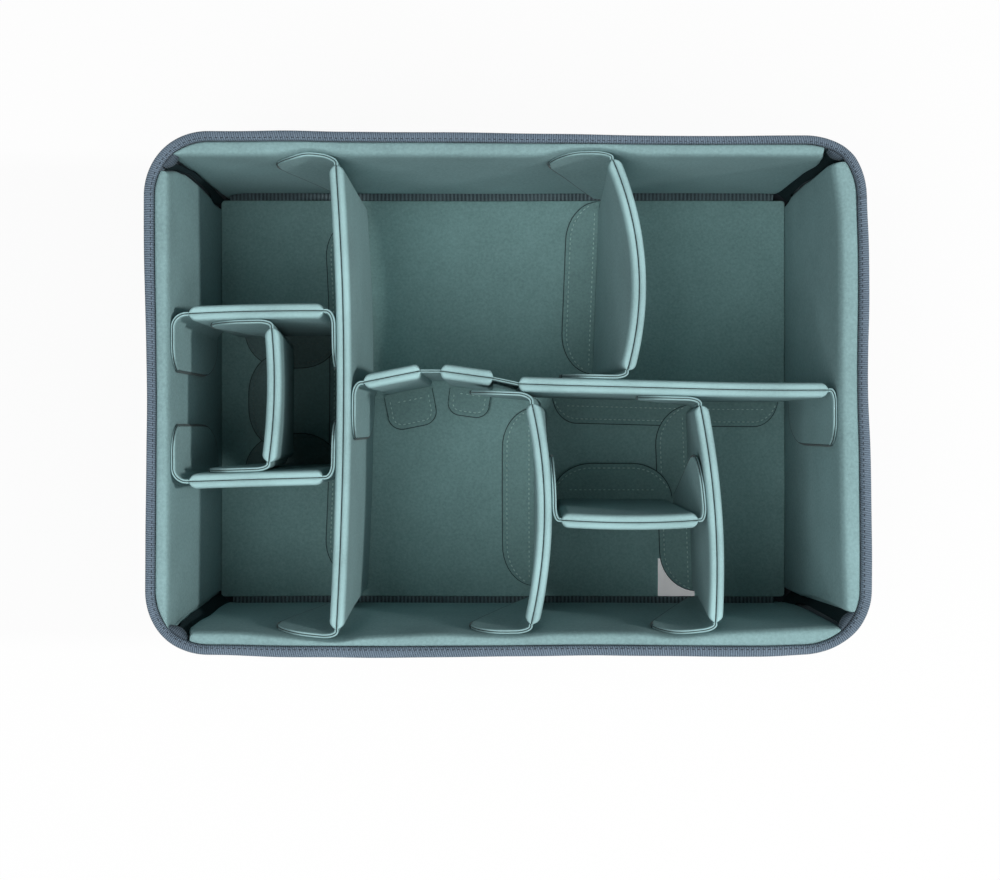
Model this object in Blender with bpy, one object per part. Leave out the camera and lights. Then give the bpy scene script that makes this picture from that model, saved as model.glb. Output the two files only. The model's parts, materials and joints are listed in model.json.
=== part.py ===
"""Padded insert for a camera bag, with nine dividers held by hook-and-loop tabs.

Units are metres and +Z is up. The origin is the middle of the footprint, on the surface
that the insert stands on. X runs along the long side, and Y from the front to the back.
"""

import math

import bpy
import bmesh
from mathutils import Matrix, Vector

# Overall size, to the outside of the rim binding
insert_length = 0.400
insert_width = 0.289
insert_height = 0.165
corner_radius = 0.036

# Clearance between pieces that touch
seat_gap = 0.0003

# Outer shell and rim binding
shell_thickness = 0.0030
base_thickness = 0.0030
base_edge_round = 0.0016
binding_thickness = 0.0009
binding_depth = 0.0110
binding_crown = 0.0014

# Wall pads, measured from the outside of the binding to the pad's inner face
left_wall_thickness = 0.0140
right_wall_thickness = 0.0168
end_wall_thickness = 0.0141
pad_top_drop = 0.0015
pad_lip_height = 0.0060
pad_tip_round = 0.0045
left_tip_room = 0.0025
right_tip_room = 0.0048
pad_short_end_gap = 0.0090

# Floor
floor_pad_thickness = 0.0102
floor_corner_radius = 0.0060
floor_edge_round = 0.0010
floor_tape_lap = 0.0010
floor_tape_thickness = 0.0014
floor_tape_end_gap = 0.0030

# Corner tapes
corner_tape_thickness = 0.0012
corner_tape_clearance = 0.0008
corner_tape_drop = 0.0040

# Dividers
divider_thickness = 0.0085
divider_top_drop = 0.0030
seam_groove_depth = 0.0011
divider_top_round = 0.0036
divider_foot_round = 0.0014
tab_thickness = 0.0020
tab_fold_run = 0.0075
tight_fold = 0.0026
middle_fold = 0.0042
wide_fold = 0.0076
tab_top_drop = 0.0008
tab_corner_round = 0.0160
long_tab_reach = 0.0350
long_tab_floor_gap = 0.0165
long_tab_free_edge = 0.0400
short_tab_reach = 0.0310
short_tab_floor_gap = 0.0235
short_tab_free_edge = 0.0780
web_top_drop = 0.0012
taper_run = 0.0042
blunt_run = 0.0022

# Floor flaps
flap_thickness = 0.0012
flap_width = 0.0205
flap_round = 0.0260
flap_end_gap = 0.0060
flap_past_end = 0.0030
flap_hinge_inset = 0.0003
sectional_flap_width = 0.0160
sectional_flap_round = 0.0160
sectional_flap_start = 0.0240
sectional_flap_past_end = 0.0005
left_tongue_length = 0.0225
middle_tongue_length = 0.0180
tongue_round = 0.0080
tongue_end_gap = 0.0012
cross_flap_width = 0.0230
cross_flap_past_end = 0.0024

# How far each divider bows at the middle of its top edge
long_divider_bow = 0.0047
box_back_bow = 0.0008
box_middle_bow = 0.0030
sectional_bow = -0.0008
back_divider_bow = 0.0122
front_left_bow = 0.0087
front_right_bow = 0.0045
cross_divider_bow = -0.0018

# Places of the dividers' centre lines, start and end, as shares of the inner length or width
long_divider_shares = (0.2478, 0.2478)
box_back_shares = (0.6664, 0.6741)
box_front_shares = (0.3121, 0.3217)
box_middle_top_shares = (0.1501, 0.1460)
box_middle_foot_shares = (0.1178, 0.1178)
sectional_left_shares = (0.5176, 0.5464)
sectional_middle_shares = (0.5464, 0.5318)
sectional_right_shares = (0.5199, 0.5065)
back_divider_top_shares = (0.6566, 0.6809)
back_divider_foot_shares = (0.6809, 0.6677)
front_left_top_shares = (0.5374, 0.5366)
front_left_foot_shares = (0.5661, 0.5661)
front_right_top_shares = (0.7912, 0.8158)
front_right_foot_shares = (0.8342, 0.8467)
cross_divider_shares = (0.2320, 0.2320)

# Ends of the sectional divider's pads, as shares of the inner length
left_web_shares = (0.3749, 0.4060)
right_web_shares = (0.4835, 0.5225)

# Section of a divider's top edge: share of the half thickness, share of the top rounding
top_profile_shares = ((1.0, 1.0), (0.86, 0.30), (0.56, 0.0), (0.20, 0.10))
foot_profile_share = 0.80

# Plan of a divider's end: share of the run, share of the full thickness
taper_shares = ((0.0, 0.24), (0.14, 0.55), (0.36, 0.80), (0.64, 0.95), (1.0, 1.0))
blunt_shares = ((0.0, 0.62), (0.36, 0.86), (1.0, 1.0))

# Half sections of a hinged edge: share of the half thickness back from the axis, and of it across
root_shares = ((1.0, 0.30), (0.60, 0.78), (0.0, 1.0))

# A tab's flat part: share of that part, share of the climb of its lower edge
long_lobe_shares = ((0.0, 0.0), (0.30, 0.28), (0.55, 0.54), (0.75, 0.75), (0.90, 0.90), (1.0, 1.0))
short_lobe_shares = ((0.0, 0.0), (0.30, 0.02), (0.55, 0.12), (0.75, 0.30), (0.90, 0.58), (1.0, 1.0))

# Stations into a flap's rounded end, as shares of the rounding
flap_end_shares = (0.02, 0.10, 0.28, 0.58, 1.0)

# Inner profile of a wall pad at its foot: share of its thickness, share of the inner depth
end_pad_foot_shares = ((0.50, 0.0), (0.34, 0.035), (0.15, 0.10), (0.03, 0.19), (0.0, 0.30))
side_pad_foot_shares = ((0.14, 0.0), (0.0, 0.02))

# Top of a wall pad: share of its thickness, share of the lip's height
pad_lip_shares = ((0.0, 1.0), (0.06, 0.42), (0.20, 0.10), (0.42, 0.0), (0.84, 0.0), (1.0, 0.30))

# Stations at a wall pad's tip: share of the tip's rounding, share of the thickness left
pad_tip_shares = ((0.0, 0.58), (0.25, 0.82), (0.60, 0.95), (1.0, 1.0))

corner_steps = 12
arc_steps = 3
bow_steps = 10
wall_rows = 4
tab_rows = 3
pad_corner_steps = 4

# Colours, as linear red, green and blue
lining_colour = (0.130, 0.245, 0.245)
shell_colour = (0.060, 0.085, 0.105)
binding_colour = (0.100, 0.160, 0.225)
tape_colour = (0.030, 0.048, 0.066)

# Levels and faces that the pieces share
half_length = insert_length / 2
half_width = insert_width / 2
shell_outer = binding_thickness + seat_gap
shell_inner = shell_outer + shell_thickness
binding_inner = shell_inner + seat_gap + binding_thickness
pad_outer = shell_inner + seat_gap
pad_rim = binding_inner + seat_gap
inner_left = left_wall_thickness - half_length
inner_right = half_length - right_wall_thickness
inner_back = half_width - end_wall_thickness
inner_front = -inner_back
inner_length = inner_right - inner_left
inner_width = inner_back - inner_front
floor_under = base_thickness + seat_gap
floor_top = floor_under + floor_pad_thickness
wall_top = insert_height - pad_top_drop
inner_depth = wall_top - floor_top
divider_top = wall_top - divider_top_drop
divider_half = divider_thickness / 2
tab_half = tab_thickness / 2
flap_step = flap_thickness + seat_gap
root_room = tab_half + seat_gap


def lerp(first, last, share):
    """The value at a share of the way from first to last."""
    return first + (last - first) * share


def place_x(share):
    return lerp(inner_left, inner_right, share)


def place_y(share):
    return lerp(inner_front, inner_back, share)


def clear_scene():
    for item in list(bpy.data.objects):
        bpy.data.objects.remove(item, do_unlink=True)


def paint(piece, colour, roughness):
    """Give a piece its own matt fabric material."""
    finish = bpy.data.materials.new(piece.name + "_finish")
    finish.use_nodes = True
    shader = finish.node_tree.nodes["Principled BSDF"]
    shader.inputs["Base Color"].default_value = (*colour, 1.0)
    shader.inputs["Roughness"].default_value = roughness
    shader.inputs["Metallic"].default_value = 0.0
    piece.data.materials.append(finish)


def loft(name, sections, colour, frame=None, parent=None, looped=False, roughness=0.85):
    """Join point rings, one after the other, into one closed body.

    frame places the piece's own origin and axes; parent is the empty that carries it."""
    frame = frame or Matrix.Identity(4)
    to_local = frame.inverted()
    shape = bmesh.new()
    rings = [[shape.verts.new(to_local @ Vector(point)) for point in ring] for ring in sections]
    pairs = list(zip(rings, rings[1:]))
    if looped:
        pairs.append((rings[-1], rings[0]))
    for ring, following in pairs:
        count = len(ring)
        for index in range(count):
            after = (index + 1) % count
            shape.faces.new((ring[index], ring[after], following[after], following[index]))
    if not looped:
        shape.faces.new(rings[0])
        shape.faces.new(rings[-1])
    bmesh.ops.recalc_face_normals(shape, faces=shape.faces)
    mesh = bpy.data.meshes.new(name)
    shape.to_mesh(mesh)
    shape.free()
    mesh.shade_smooth()
    mesh.set_sharp_from_angle(angle=math.radians(40))
    piece = bpy.data.objects.new(name, mesh)
    bpy.context.scene.collection.objects.link(piece)
    if parent is not None:
        piece.parent = parent
        frame = parent.matrix_basis.inverted() @ frame
    piece.matrix_basis = frame
    paint(piece, colour, roughness)
    return piece


def add_empty(name, place):
    """An empty that carries the pieces of one divider."""
    carrier = bpy.data.objects.new(name, None)
    carrier.empty_display_size = divider_thickness
    carrier.location = place
    bpy.context.scene.collection.objects.link(carrier)
    carrier.matrix_basis = Matrix.Translation(place)
    return carrier


def rounded_loop(low, high, radius, height, steps):
    """Points round a rectangle with rounded corners, at one height."""
    centres = (
        (high[0] - radius, high[1] - radius, 0),
        (low[0] + radius, high[1] - radius, 1),
        (low[0] + radius, low[1] + radius, 2),
        (high[0] - radius, low[1] + radius, 3),
    )
    points = []
    for x, y, quarter in centres:
        for step in range(steps + 1):
            turn = (quarter + step / steps) * math.pi / 2
            points.append((x + radius * math.cos(turn), y + radius * math.sin(turn), height))
    return points


def rim_loop(inset, height):
    """The outline of the insert, drawn in by inset."""
    high = (half_length - inset, half_width - inset)
    low = (-high[0], -high[1])
    return rounded_loop(low, high, corner_radius - inset, height, corner_steps)


def ring_piece(name, profile, colour):
    """Sweep a closed profile of (inset, height) round the outline."""
    loops = [rim_loop(inset, height) for inset, height in profile]
    sections = [list(section) for section in zip(*loops)]
    return loft(name, sections, colour, looped=True)


def add_shell():
    """The fabric band, the base under it and the tape folded over the rim."""
    band_low = floor_under
    band_top = insert_height - binding_thickness - seat_gap
    ring_piece("side_shell", (
        (shell_outer + base_edge_round, band_low),
        (shell_outer, band_low + base_edge_round),
        (shell_outer, band_top),
        (shell_inner, band_top),
        (shell_inner, band_low),
    ), shell_colour)

    loft("base_shell", (
        rim_loop(shell_outer + 2 * base_edge_round, 0),
        rim_loop(shell_outer + base_edge_round, base_thickness / 2),
        rim_loop(shell_outer + base_edge_round, base_thickness),
    ), shell_colour)

    leg_end = insert_height - binding_depth
    shoulder = insert_height - binding_crown
    under = insert_height - binding_thickness
    ring_piece("rim_binding", (
        (0, leg_end),
        (0, shoulder),
        (binding_thickness, insert_height - binding_thickness / 3),
        (binding_inner / 2, insert_height),
        (binding_inner - binding_thickness, insert_height - binding_thickness / 3),
        (binding_inner, shoulder),
        (binding_inner, leg_end),
        (binding_inner - binding_thickness, leg_end),
        (binding_inner - binding_thickness, under),
        (binding_thickness, under),
        (binding_thickness, leg_end),
    ), binding_colour)


def outer_line(place, half_run, half_reach, inset=pad_outer):
    """How far out a line drawn in by inset lies, at a place along a wall, round the corners."""
    radius = corner_radius - inset
    past = max(abs(place) - (half_run - corner_radius), 0)
    return half_reach - corner_radius + math.sqrt(radius * radius - past * past)


def pad_places(start, end, half_run):
    """Stations along a wall pad: its rounded tips, the shell's corners and the straight run.

    Each station is a place and the share of the pad's thickness left there."""
    stations = [(start + run * pad_tip_round, left) for run, left in pad_tip_shares]
    stations += [(end - run * pad_tip_round, left) for run, left in pad_tip_shares]
    centre = half_run - corner_radius
    for side in (-1, 1):
        tip = start + pad_tip_round if side < 0 else end - pad_tip_round
        for step in range(pad_corner_steps):
            stations.append((lerp(side * centre, tip, step / pad_corner_steps), 1.0))
    return sorted(stations)


def wall_section(left, inner_face, outer_face, rim_face, foot_shares):
    """The upright section of a wall pad, as (distance out, height) points.

    left is the share of the pad's thickness there, and rim_face clears the binding."""
    inner = lerp(outer_face, inner_face, left)
    depth = outer_face - inner
    points = [(outer_face, floor_under), (inner + foot_shares[0][0] * depth, floor_under)]
    for share, rise in foot_shares:
        points.append((inner + share * depth, floor_top + rise * inner_depth))
    stepped = rim_face - inner
    for share, drop in pad_lip_shares:
        points.append((inner + share * stepped, wall_top - drop * pad_lip_height))
    leg_end = insert_height - binding_depth - seat_gap
    points.append((inner + stepped, leg_end))
    points.append((outer_face, leg_end - pad_rim + pad_outer))
    return points


def add_wall_pad(name, place_point, start, end, half_run, half_reach, inner_face, foot_shares):
    """A padded wall. place_point turns (along, out, height) into a point."""
    sections = []
    for along, left in pad_places(start, end, half_run):
        outer_face = outer_line(along, half_run, half_reach)
        rim_face = outer_line(along, half_run, half_reach, pad_rim)
        section = wall_section(left, inner_face, outer_face, rim_face, foot_shares)
        sections.append([place_point(along, out, height) for out, height in section])
    loft(name, sections, lining_colour)


def on_back(along, out, height):
    return along, out, height


def on_front(along, out, height):
    return along, -out, height


def on_left(along, out, height):
    return -out, along, height


def on_right(along, out, height):
    return out, along, height


def tip_place(half_run, half_reach, inner_face, room):
    """How far along a wall its pad runs before the corner leaves it only room thick at the rim."""
    radius = corner_radius - pad_rim
    reach = inner_face + room - (half_reach - corner_radius)
    return half_run - corner_radius + math.sqrt(radius * radius - reach * reach)


# Each wall pad runs long past one corner and stops short of the other
back_ends = (-tip_place(half_length, half_width, inner_back, left_tip_room),
             inner_right - pad_short_end_gap)
front_ends = (inner_left + pad_short_end_gap,
              tip_place(half_length, half_width, inner_back, right_tip_room))
left_ends = (-tip_place(half_width, half_length, -inner_left, left_tip_room),
             inner_back - pad_short_end_gap)
right_ends = (inner_front + pad_short_end_gap,
              tip_place(half_width, half_length, inner_right, right_tip_room))


def add_walls():
    add_wall_pad("back_wall_pad", on_back, *back_ends, half_length, half_width,
                 inner_back, end_pad_foot_shares)
    add_wall_pad("front_wall_pad", on_front, *front_ends, half_length, half_width,
                 inner_back, end_pad_foot_shares)
    add_wall_pad("left_wall_pad", on_left, *left_ends, half_width, half_length,
                 -inner_left, side_pad_foot_shares)
    add_wall_pad("right_wall_pad", on_right, *right_ends, half_width, half_length,
                 inner_right, side_pad_foot_shares)


def add_floor_pad():
    """The padded floor, with a slightly rounded edge."""
    low = (inner_left + seat_gap, inner_front + floor_tape_lap)
    high = (inner_right - seat_gap, inner_back - floor_tape_lap)

    def loop(inset, height):
        drawn_low = (low[0] + inset, low[1] + inset)
        drawn_high = (high[0] - inset, high[1] - inset)
        return rounded_loop(drawn_low, drawn_high, floor_corner_radius - inset, height, corner_steps // 3)

    loft("floor_pad", (
        loop(0, floor_under),
        loop(0, floor_top - floor_edge_round),
        loop(floor_edge_round / 2, floor_top - floor_edge_round / 3),
        loop(2 * floor_edge_round, floor_top),
    ), lining_colour)


def add_floor_tape(name, place_point, ends):
    """The ribbed tape over the seam between the floor and an end wall."""
    inner_edge = inner_back - floor_tape_lap + seat_gap
    tuck = end_pad_foot_shares[0][0]
    start = ends[0] + floor_tape_end_gap
    end = ends[1] - floor_tape_end_gap
    sections = []
    for along, _ in pad_places(start, end, half_length):
        outer_face = outer_line(along, half_length, half_width)
        wall_foot = lerp(inner_back, outer_face, tuck)
        outer_edge = wall_foot - 2 * seat_gap
        sections.append([
            place_point(along, inner_edge, floor_top - floor_tape_thickness),
            place_point(along, inner_edge, floor_top),
            place_point(along, outer_edge, floor_top + floor_tape_thickness / 3),
            place_point(along, outer_edge, floor_top - floor_tape_thickness),
        ])
    loft(name, sections, tape_colour)


def add_corner_tape(name, side_x, side_y, end_x, end_y):
    """The dark binding down one inside corner, in the gap that the two pads' tips leave.

    end_x and end_y are how far out the two pads that meet there reach."""
    outer = corner_radius - binding_inner - seat_gap
    inner = outer - corner_tape_thickness
    centre_x = half_length - corner_radius
    centre_y = half_width - corner_radius
    last = math.acos(min(max((end_x + corner_tape_clearance - centre_x) / inner, 0), 1))
    first = math.asin(min(max((end_y + corner_tape_clearance - centre_y) / inner, 0), 1))
    low = floor_top + seat_gap
    top = insert_height - corner_tape_drop
    sections = []
    for step in range(corner_steps + 1):
        turn = lerp(first, last, step / corner_steps)
        section = []
        for radius, height in ((outer, low), (inner, low), (inner, top), (outer, top)):
            x = side_x * (centre_x + radius * math.cos(turn))
            y = side_y * (centre_y + radius * math.sin(turn))
            section.append((x, y, height))
        sections.append(section)
    loft(name, sections, tape_colour)


def add_tapes():
    add_floor_tape("back_floor_tape", on_back, back_ends)
    add_floor_tape("front_floor_tape", on_front, front_ends)
    add_corner_tape("back_left_corner_tape", -1, 1, -back_ends[0], left_ends[1])
    add_corner_tape("back_right_corner_tape", 1, 1, back_ends[1], right_ends[1])
    add_corner_tape("front_left_corner_tape", -1, -1, -front_ends[0], -left_ends[0])
    add_corner_tape("front_right_corner_tape", 1, -1, front_ends[1], -right_ends[0])


class Divider:
    """One padded wall. Its centre line runs along X or Y, and may bow and lean."""

    def __init__(self, name, runs, side, layer, foot, top, start_face, end_face,
                 bow=0.0, foot_bow=0.0, folds=(tight_fold, tight_fold), long_tabs=True, standing=None):
        self.name = name
        self.runs = runs
        self.side = side
        self.layer = layer
        self.foot = foot
        self.top = top
        self.bow = bow
        self.foot_bow = foot_bow
        self.faces = (start_face, end_face)
        self.folds = folds
        self.reach = long_tab_reach if long_tabs else short_tab_reach
        self.tab_floor_gap = long_tab_floor_gap if long_tabs else short_tab_floor_gap
        self.tab_free_edge = long_tab_free_edge if long_tabs else short_tab_free_edge
        self.lobe_shares = long_lobe_shares if long_tabs else short_lobe_shares
        self.flap_low = floor_top + seat_gap + layer * flap_step
        standing = layer if standing is None else standing
        self.foot_height = floor_top + seat_gap + (standing + 1) * flap_step

    def level(self, height):
        return (height - floor_top) / (divider_top - floor_top)

    def ends_across(self, height):
        """Where the centre line's two ends lie across the divider, at a height."""
        level = self.level(height)
        return lerp(self.foot[0], self.top[0], level), lerp(self.foot[1], self.top[1], level)

    def face_along(self, end, height):
        """Where the face that one end meets lies along the divider, at a height."""
        return self.faces[end](self.ends_across(height)[end], height)

    def inward(self, end, height):
        """Plus or minus one: the way from an end into the divider."""
        way = self.face_along(1, height) - self.face_along(0, height)
        return math.copysign(1, way if end == 0 else -way)

    def across(self, along, height):
        """Where the centre line lies across the divider."""
        start = self.face_along(0, height)
        end = self.face_along(1, height)
        share = (along - start) / (end - start)
        first, last = self.ends_across(height)
        bow = lerp(self.foot_bow, self.bow, self.level(height))
        return lerp(first, last, share) + bow * (1 - (2 * share - 1) ** 2)

    def slope(self, along, height):
        start = self.face_along(0, height)
        end = self.face_along(1, height)
        share = (along - start) / (end - start)
        first, last = self.ends_across(height)
        bow = lerp(self.foot_bow, self.bow, self.level(height))
        return (last - first + 4 * bow * (1 - 2 * share)) / (end - start)

    def face(self, along, height, side):
        """Where the divider's side lies across it, for a neighbour that meets it there."""
        slant = math.hypot(1, self.slope(along, height))
        return self.across(along, height) + side * divider_half * slant

    def turn(self, along, across):
        """A plan vector from its parts along and across the divider."""
        return Vector((along, across)) if self.runs == "x" else Vector((across, along))

    def point(self, along, height, out=0.0):
        """A point out to the side of the centre line, square to it."""
        slope = self.slope(along, height)
        square = self.turn(-slope, 1).normalized()
        spot = self.turn(along, self.across(along, height)) + out * square
        return Vector((spot.x, spot.y, height))

    def pad_end(self, end, height):
        """Where the pad itself stops along the divider."""
        room = self.fold_room(end) + root_room if self.folds[end] else 0
        return self.face_along(end, height) + self.inward(end, height) * room

    def fold_room(self, end):
        """How far the tab's hinge line stands off the face that the tab grips."""
        return self.folds[end] + tab_half + seat_gap

    def end_place(self, end, distance, height):
        return self.pad_end(end, height) + self.inward(end, height) * distance

    def stations(self):
        """(place along at a height, share of the thickness) for each section of the pad."""
        runs = [taper_run if fold else blunt_run for fold in self.folds]
        tables = [taper_shares if fold else blunt_shares for fold in self.folds]
        steps = bow_steps if self.bow or self.foot != self.top else 2
        found = []
        for run_share, thick_share in tables[0]:
            distance = run_share * runs[0]
            found.append((lambda height, d=distance: self.end_place(0, d, height), thick_share))
        for step in range(1, steps):
            share = step / steps
            found.append((lambda height, s=share: lerp(self.end_place(0, runs[0], height),
                                                       self.end_place(1, runs[1], height), s), 1.0))
        for run_share, thick_share in reversed(tables[1]):
            distance = run_share * runs[1]
            found.append((lambda height, d=distance: self.end_place(1, d, height), thick_share))
        return found

    def profile(self):
        """Half thickness shares and heights round the pad's section, up one side and down the other."""
        side = [(foot_profile_share, self.foot_height)]
        rows = wall_rows if self.bow or self.foot != self.top else 1
        low = self.foot_height + divider_foot_round
        side += [(1.0, lerp(low, divider_top - divider_top_round, row / rows)) for row in range(rows)]
        for share, drop in top_profile_shares:
            side.append((share, divider_top - drop * divider_top_round))
        groove = [(0.0, divider_top - seam_groove_depth)]
        return side + groove + [(-share, height) for share, height in reversed(side)]

    def add_pad(self, carrier, name=None):
        sections = []
        for place, thick_share in self.stations():
            sections.append([
                self.point(place(height), height, share * thick_share * divider_half)
                for share, height in self.profile()
            ])
        middle = (self.pad_end(0, self.foot_height) + self.pad_end(1, self.foot_height)) / 2
        frame = Matrix.Translation(self.point(middle, self.foot_height))
        loft(name or self.name + "_pad", sections, lining_colour, frame, carrier)

    def hinge_point(self, end, height):
        """The tab's hinge line, beyond the pad's end."""
        along = self.face_along(end, height) + self.inward(end, height) * self.fold_room(end)
        return self.point(along, height)

    def tab_line(self, end, height):
        """Centre points of a tab at a height, from behind its hinge line to its free end."""
        hinge = self.hinge_point(end, height)
        outward = self.turn(-self.inward(end, height), 0)
        sideways = self.turn(0, self.side)
        points = [hinge.xy - outward * share * tab_half for share, _ in root_shares]
        for step in range(1, arc_steps):
            bend = step / arc_steps * math.pi / 2
            points.append(hinge.xy + outward * self.folds[end] * math.sin(bend)
                          + sideways * tab_fold_run * (1 - math.cos(bend)))
        start_across = hinge.xy.dot(self.turn(0, 1))
        for share, _ in self.lobe_shares:
            across = start_across + self.side * lerp(tab_fold_run, self.reach, share)
            stand_off = self.inward(end, height) * (seat_gap + tab_half)
            points.append(self.turn(self.faces[end](across, height) + stand_off, across))
        return points

    def tab_heights(self):
        """The lowest and highest point of a tab at each of its stations."""
        top = divider_top - tab_top_drop
        low = floor_top + self.tab_floor_gap
        free_low = top - self.tab_free_edge
        heights = [(low, top)] * (len(root_shares) + arc_steps - 1)
        lobe = self.reach - tab_fold_run
        for share, climb in self.lobe_shares:
            past = max(share * lobe - (lobe - tab_corner_round), 0)
            drop = tab_corner_round - math.sqrt(tab_corner_round ** 2 - past ** 2)
            heights.append((lerp(low, free_low, climb), top - drop))
        return heights

    def add_tab(self, end, name, carrier):
        """The thin lobe sewn into the pad's end, folded round to lie on the face it grips."""
        heights = self.tab_heights()
        thickness = [share for _, share in root_shares] + [1.0] * (len(heights) - len(root_shares))
        sections = []
        for index, (low, high) in enumerate(heights):
            faces = ([], [])
            for row in range(tab_rows + 1):
                height = lerp(low, high, row / tab_rows)
                line = self.tab_line(end, height)
                before = line[max(index - 1, 0)]
                after = line[min(index + 1, len(line) - 1)]
                run = (after - before).normalized()
                square = Vector((-run.y, run.x))
                for face, side in zip(faces, (1, -1)):
                    spot = line[index] + square * side * thickness[index] * tab_half
                    face.append((spot.x, spot.y, height))
            sections.append(faces[0] + faces[1][::-1])
        low, high = heights[0]
        foot = self.hinge_point(end, low)
        up = (self.hinge_point(end, high) - foot).normalized()
        outward = self.turn(-self.inward(end, low), 0).to_3d()
        forward = (outward - outward.dot(up) * up).normalized()
        frame = Matrix((forward, up.cross(forward), up)).transposed().to_4x4()
        frame.translation = foot
        loft(name, sections, lining_colour, frame, carrier)

    def add_flap(self, name, carrier, hinged, width=flap_width, rounding=flap_round,
                 end_gaps=(flap_end_gap, flap_end_gap), tongue=False):
        """The hook-tape flap on the floor, sewn along the pad's foot.

        A tongue keeps straight sides as far as its rounded corners."""
        height = self.flap_low
        start = self.end_place(0, end_gaps[0], height)
        end = self.end_place(1, end_gaps[1], height)
        way = math.copysign(1, end - start)
        rounding = min(rounding, abs(end - start) / 2)
        inner = divider_half - flap_hinge_inset if hinged else 0
        outer = divider_half + width
        shoulder = outer - rounding if tongue else inner
        places = [(start + way * share * rounding, share) for share in flap_end_shares]
        places += [(end - way * share * rounding, share) for share in reversed(flap_end_shares)]
        sections = []
        for along, share in places:
            bulge = math.sqrt(1 - (1 - share) ** 2)
            section = []
            for z in (height, height + flap_thickness):
                edges = (inner, lerp(shoulder, outer, bulge))
                for out in (edges if z == height else reversed(edges)):
                    spot = self.point(along, floor_top, self.side * out)
                    section.append((spot.x, spot.y, z))
            sections.append(section)
        hinge_height = height + flap_thickness
        first = self.point(start, floor_top, self.side * inner)
        last = self.point(end, floor_top, self.side * inner)
        run = (last - first).normalized()
        up = Vector((0, 0, 1))
        frame = Matrix((run, up.cross(run), up)).transposed().to_4x4()
        frame.translation = Vector((first.x, first.y, hinge_height))
        loft(name, sections, lining_colour, frame, carrier)

    def add_all(self, end_names, hinged, **flap):
        """The whole divider on its own carrier: pad, two tabs and flap."""
        foot = (self.pad_end(0, self.foot_height) + self.pad_end(1, self.foot_height)) / 2
        carrier = add_empty(self.name, self.point(foot, self.foot_height))
        self.add_pad(carrier)
        for end, end_name in enumerate(end_names):
            self.add_tab(end, self.name + "_" + end_name + "_tab", carrier)
        self.add_flap(self.name + "_flap", carrier, hinged, **flap)


def wall(face):
    """A wall pad's inner face, which is the same at every place and height."""
    return lambda across, height: face


def side_of(divider, side):
    """A divider's side, as the face that another divider meets."""
    return lambda across, height: divider.face(across, height, side)


def top_side_of(divider, side):
    """A leaning divider's side at its top edge, so that what meets it can still lift out."""
    return lambda across, height: divider.face(across, divider_top, side)


def both(place, shares):
    return place(shares[0]), place(shares[1])


long_places = both(place_x, long_divider_shares)
long_divider = Divider("long_divider", "y", -1, 0, long_places, long_places,
                       wall(inner_back), wall(inner_front), bow=long_divider_bow,
                       foot_bow=long_divider_bow, folds=(tight_fold, tight_fold))

box_back_places = both(place_y, box_back_shares)
box_back = Divider("box_back_divider", "x", -1, 1, box_back_places, box_back_places,
                   wall(inner_left), side_of(long_divider, -1), bow=box_back_bow,
                   folds=(wide_fold, middle_fold), long_tabs=False)

box_front_places = both(place_y, box_front_shares)
box_front = Divider("box_front_divider", "x", 1, 1, box_front_places, box_front_places,
                    wall(inner_left), side_of(long_divider, -1),
                    folds=(wide_fold, middle_fold), long_tabs=False)

box_middle = Divider("box_middle_divider", "y", -1, 2,
                     both(place_x, box_middle_foot_shares), both(place_x, box_middle_top_shares),
                     side_of(box_back, -1), side_of(box_front, 1), bow=box_middle_bow)

left_places = both(place_y, sectional_left_shares)
sectional_left = Divider("sectional_divider", "x", -1, 0, left_places, left_places,
                         side_of(long_divider, 1), wall(place_x(left_web_shares[0])),
                         folds=(middle_fold, None), long_tabs=False, standing=1)

middle_places = both(place_y, sectional_middle_shares)
sectional_middle = Divider("sectional_divider", "x", -1, 1, middle_places, middle_places,
                           wall(place_x(left_web_shares[1])), wall(place_x(right_web_shares[0])),
                           folds=(None, None))

right_places = both(place_y, sectional_right_shares)
sectional_right = Divider("sectional_divider", "x", -1, 0, right_places, right_places,
                          wall(place_x(right_web_shares[1])), wall(inner_right),
                          bow=sectional_bow, foot_bow=sectional_bow, folds=(None, tight_fold),
                          long_tabs=False)

back_divider = Divider("back_divider", "y", -1, 0,
                       both(place_x, back_divider_foot_shares), both(place_x, back_divider_top_shares),
                       wall(inner_back), side_of(sectional_right, 1), bow=back_divider_bow)

front_left = Divider("front_left_divider", "y", -1, 0,
                     both(place_x, front_left_foot_shares), both(place_x, front_left_top_shares),
                     side_of(sectional_right, -1), wall(inner_front), bow=front_left_bow,
                     folds=(middle_fold, tight_fold))

front_right = Divider("front_right_divider", "y", -1, 1,
                      both(place_x, front_right_foot_shares), both(place_x, front_right_top_shares),
                      side_of(sectional_right, -1), wall(inner_front), bow=front_right_bow)

cross_places = both(place_y, cross_divider_shares)
cross_divider = Divider("cross_divider", "x", 1, 2, cross_places, cross_places,
                        side_of(front_left, 1), top_side_of(front_right, -1), bow=cross_divider_bow)


def add_web(name, first, second, carrier):
    """The thin fabric hinge between two pads of the sectional divider.

    It bends beside the first pad and is sewn into the second."""
    low = max(first.foot_height, second.foot_height)
    top = divider_top - web_top_drop
    pad_edge = first.point(first.pad_end(1, low), low)
    far_edge = second.point(second.pad_end(0, low), low)
    run = (far_edge - pad_edge).normalized()
    square = Vector((-run.y, run.x, 0))
    axis = pad_edge + run * root_room
    spots = [(axis - run * back * tab_half, across) for back, across in root_shares]
    spots.append((far_edge - run * seat_gap, 1.0))
    rise = Vector((0, 0, top - low))
    sections = []
    for spot, share in spots:
        out = square * share * tab_half
        sections.append([spot - out, spot + out, spot + out + rise, spot - out + rise])
    frame = Matrix((run, square, Vector((0, 0, 1)))).transposed().to_4x4()
    frame.translation = axis
    loft(name, sections, lining_colour, frame, carrier)


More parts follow.
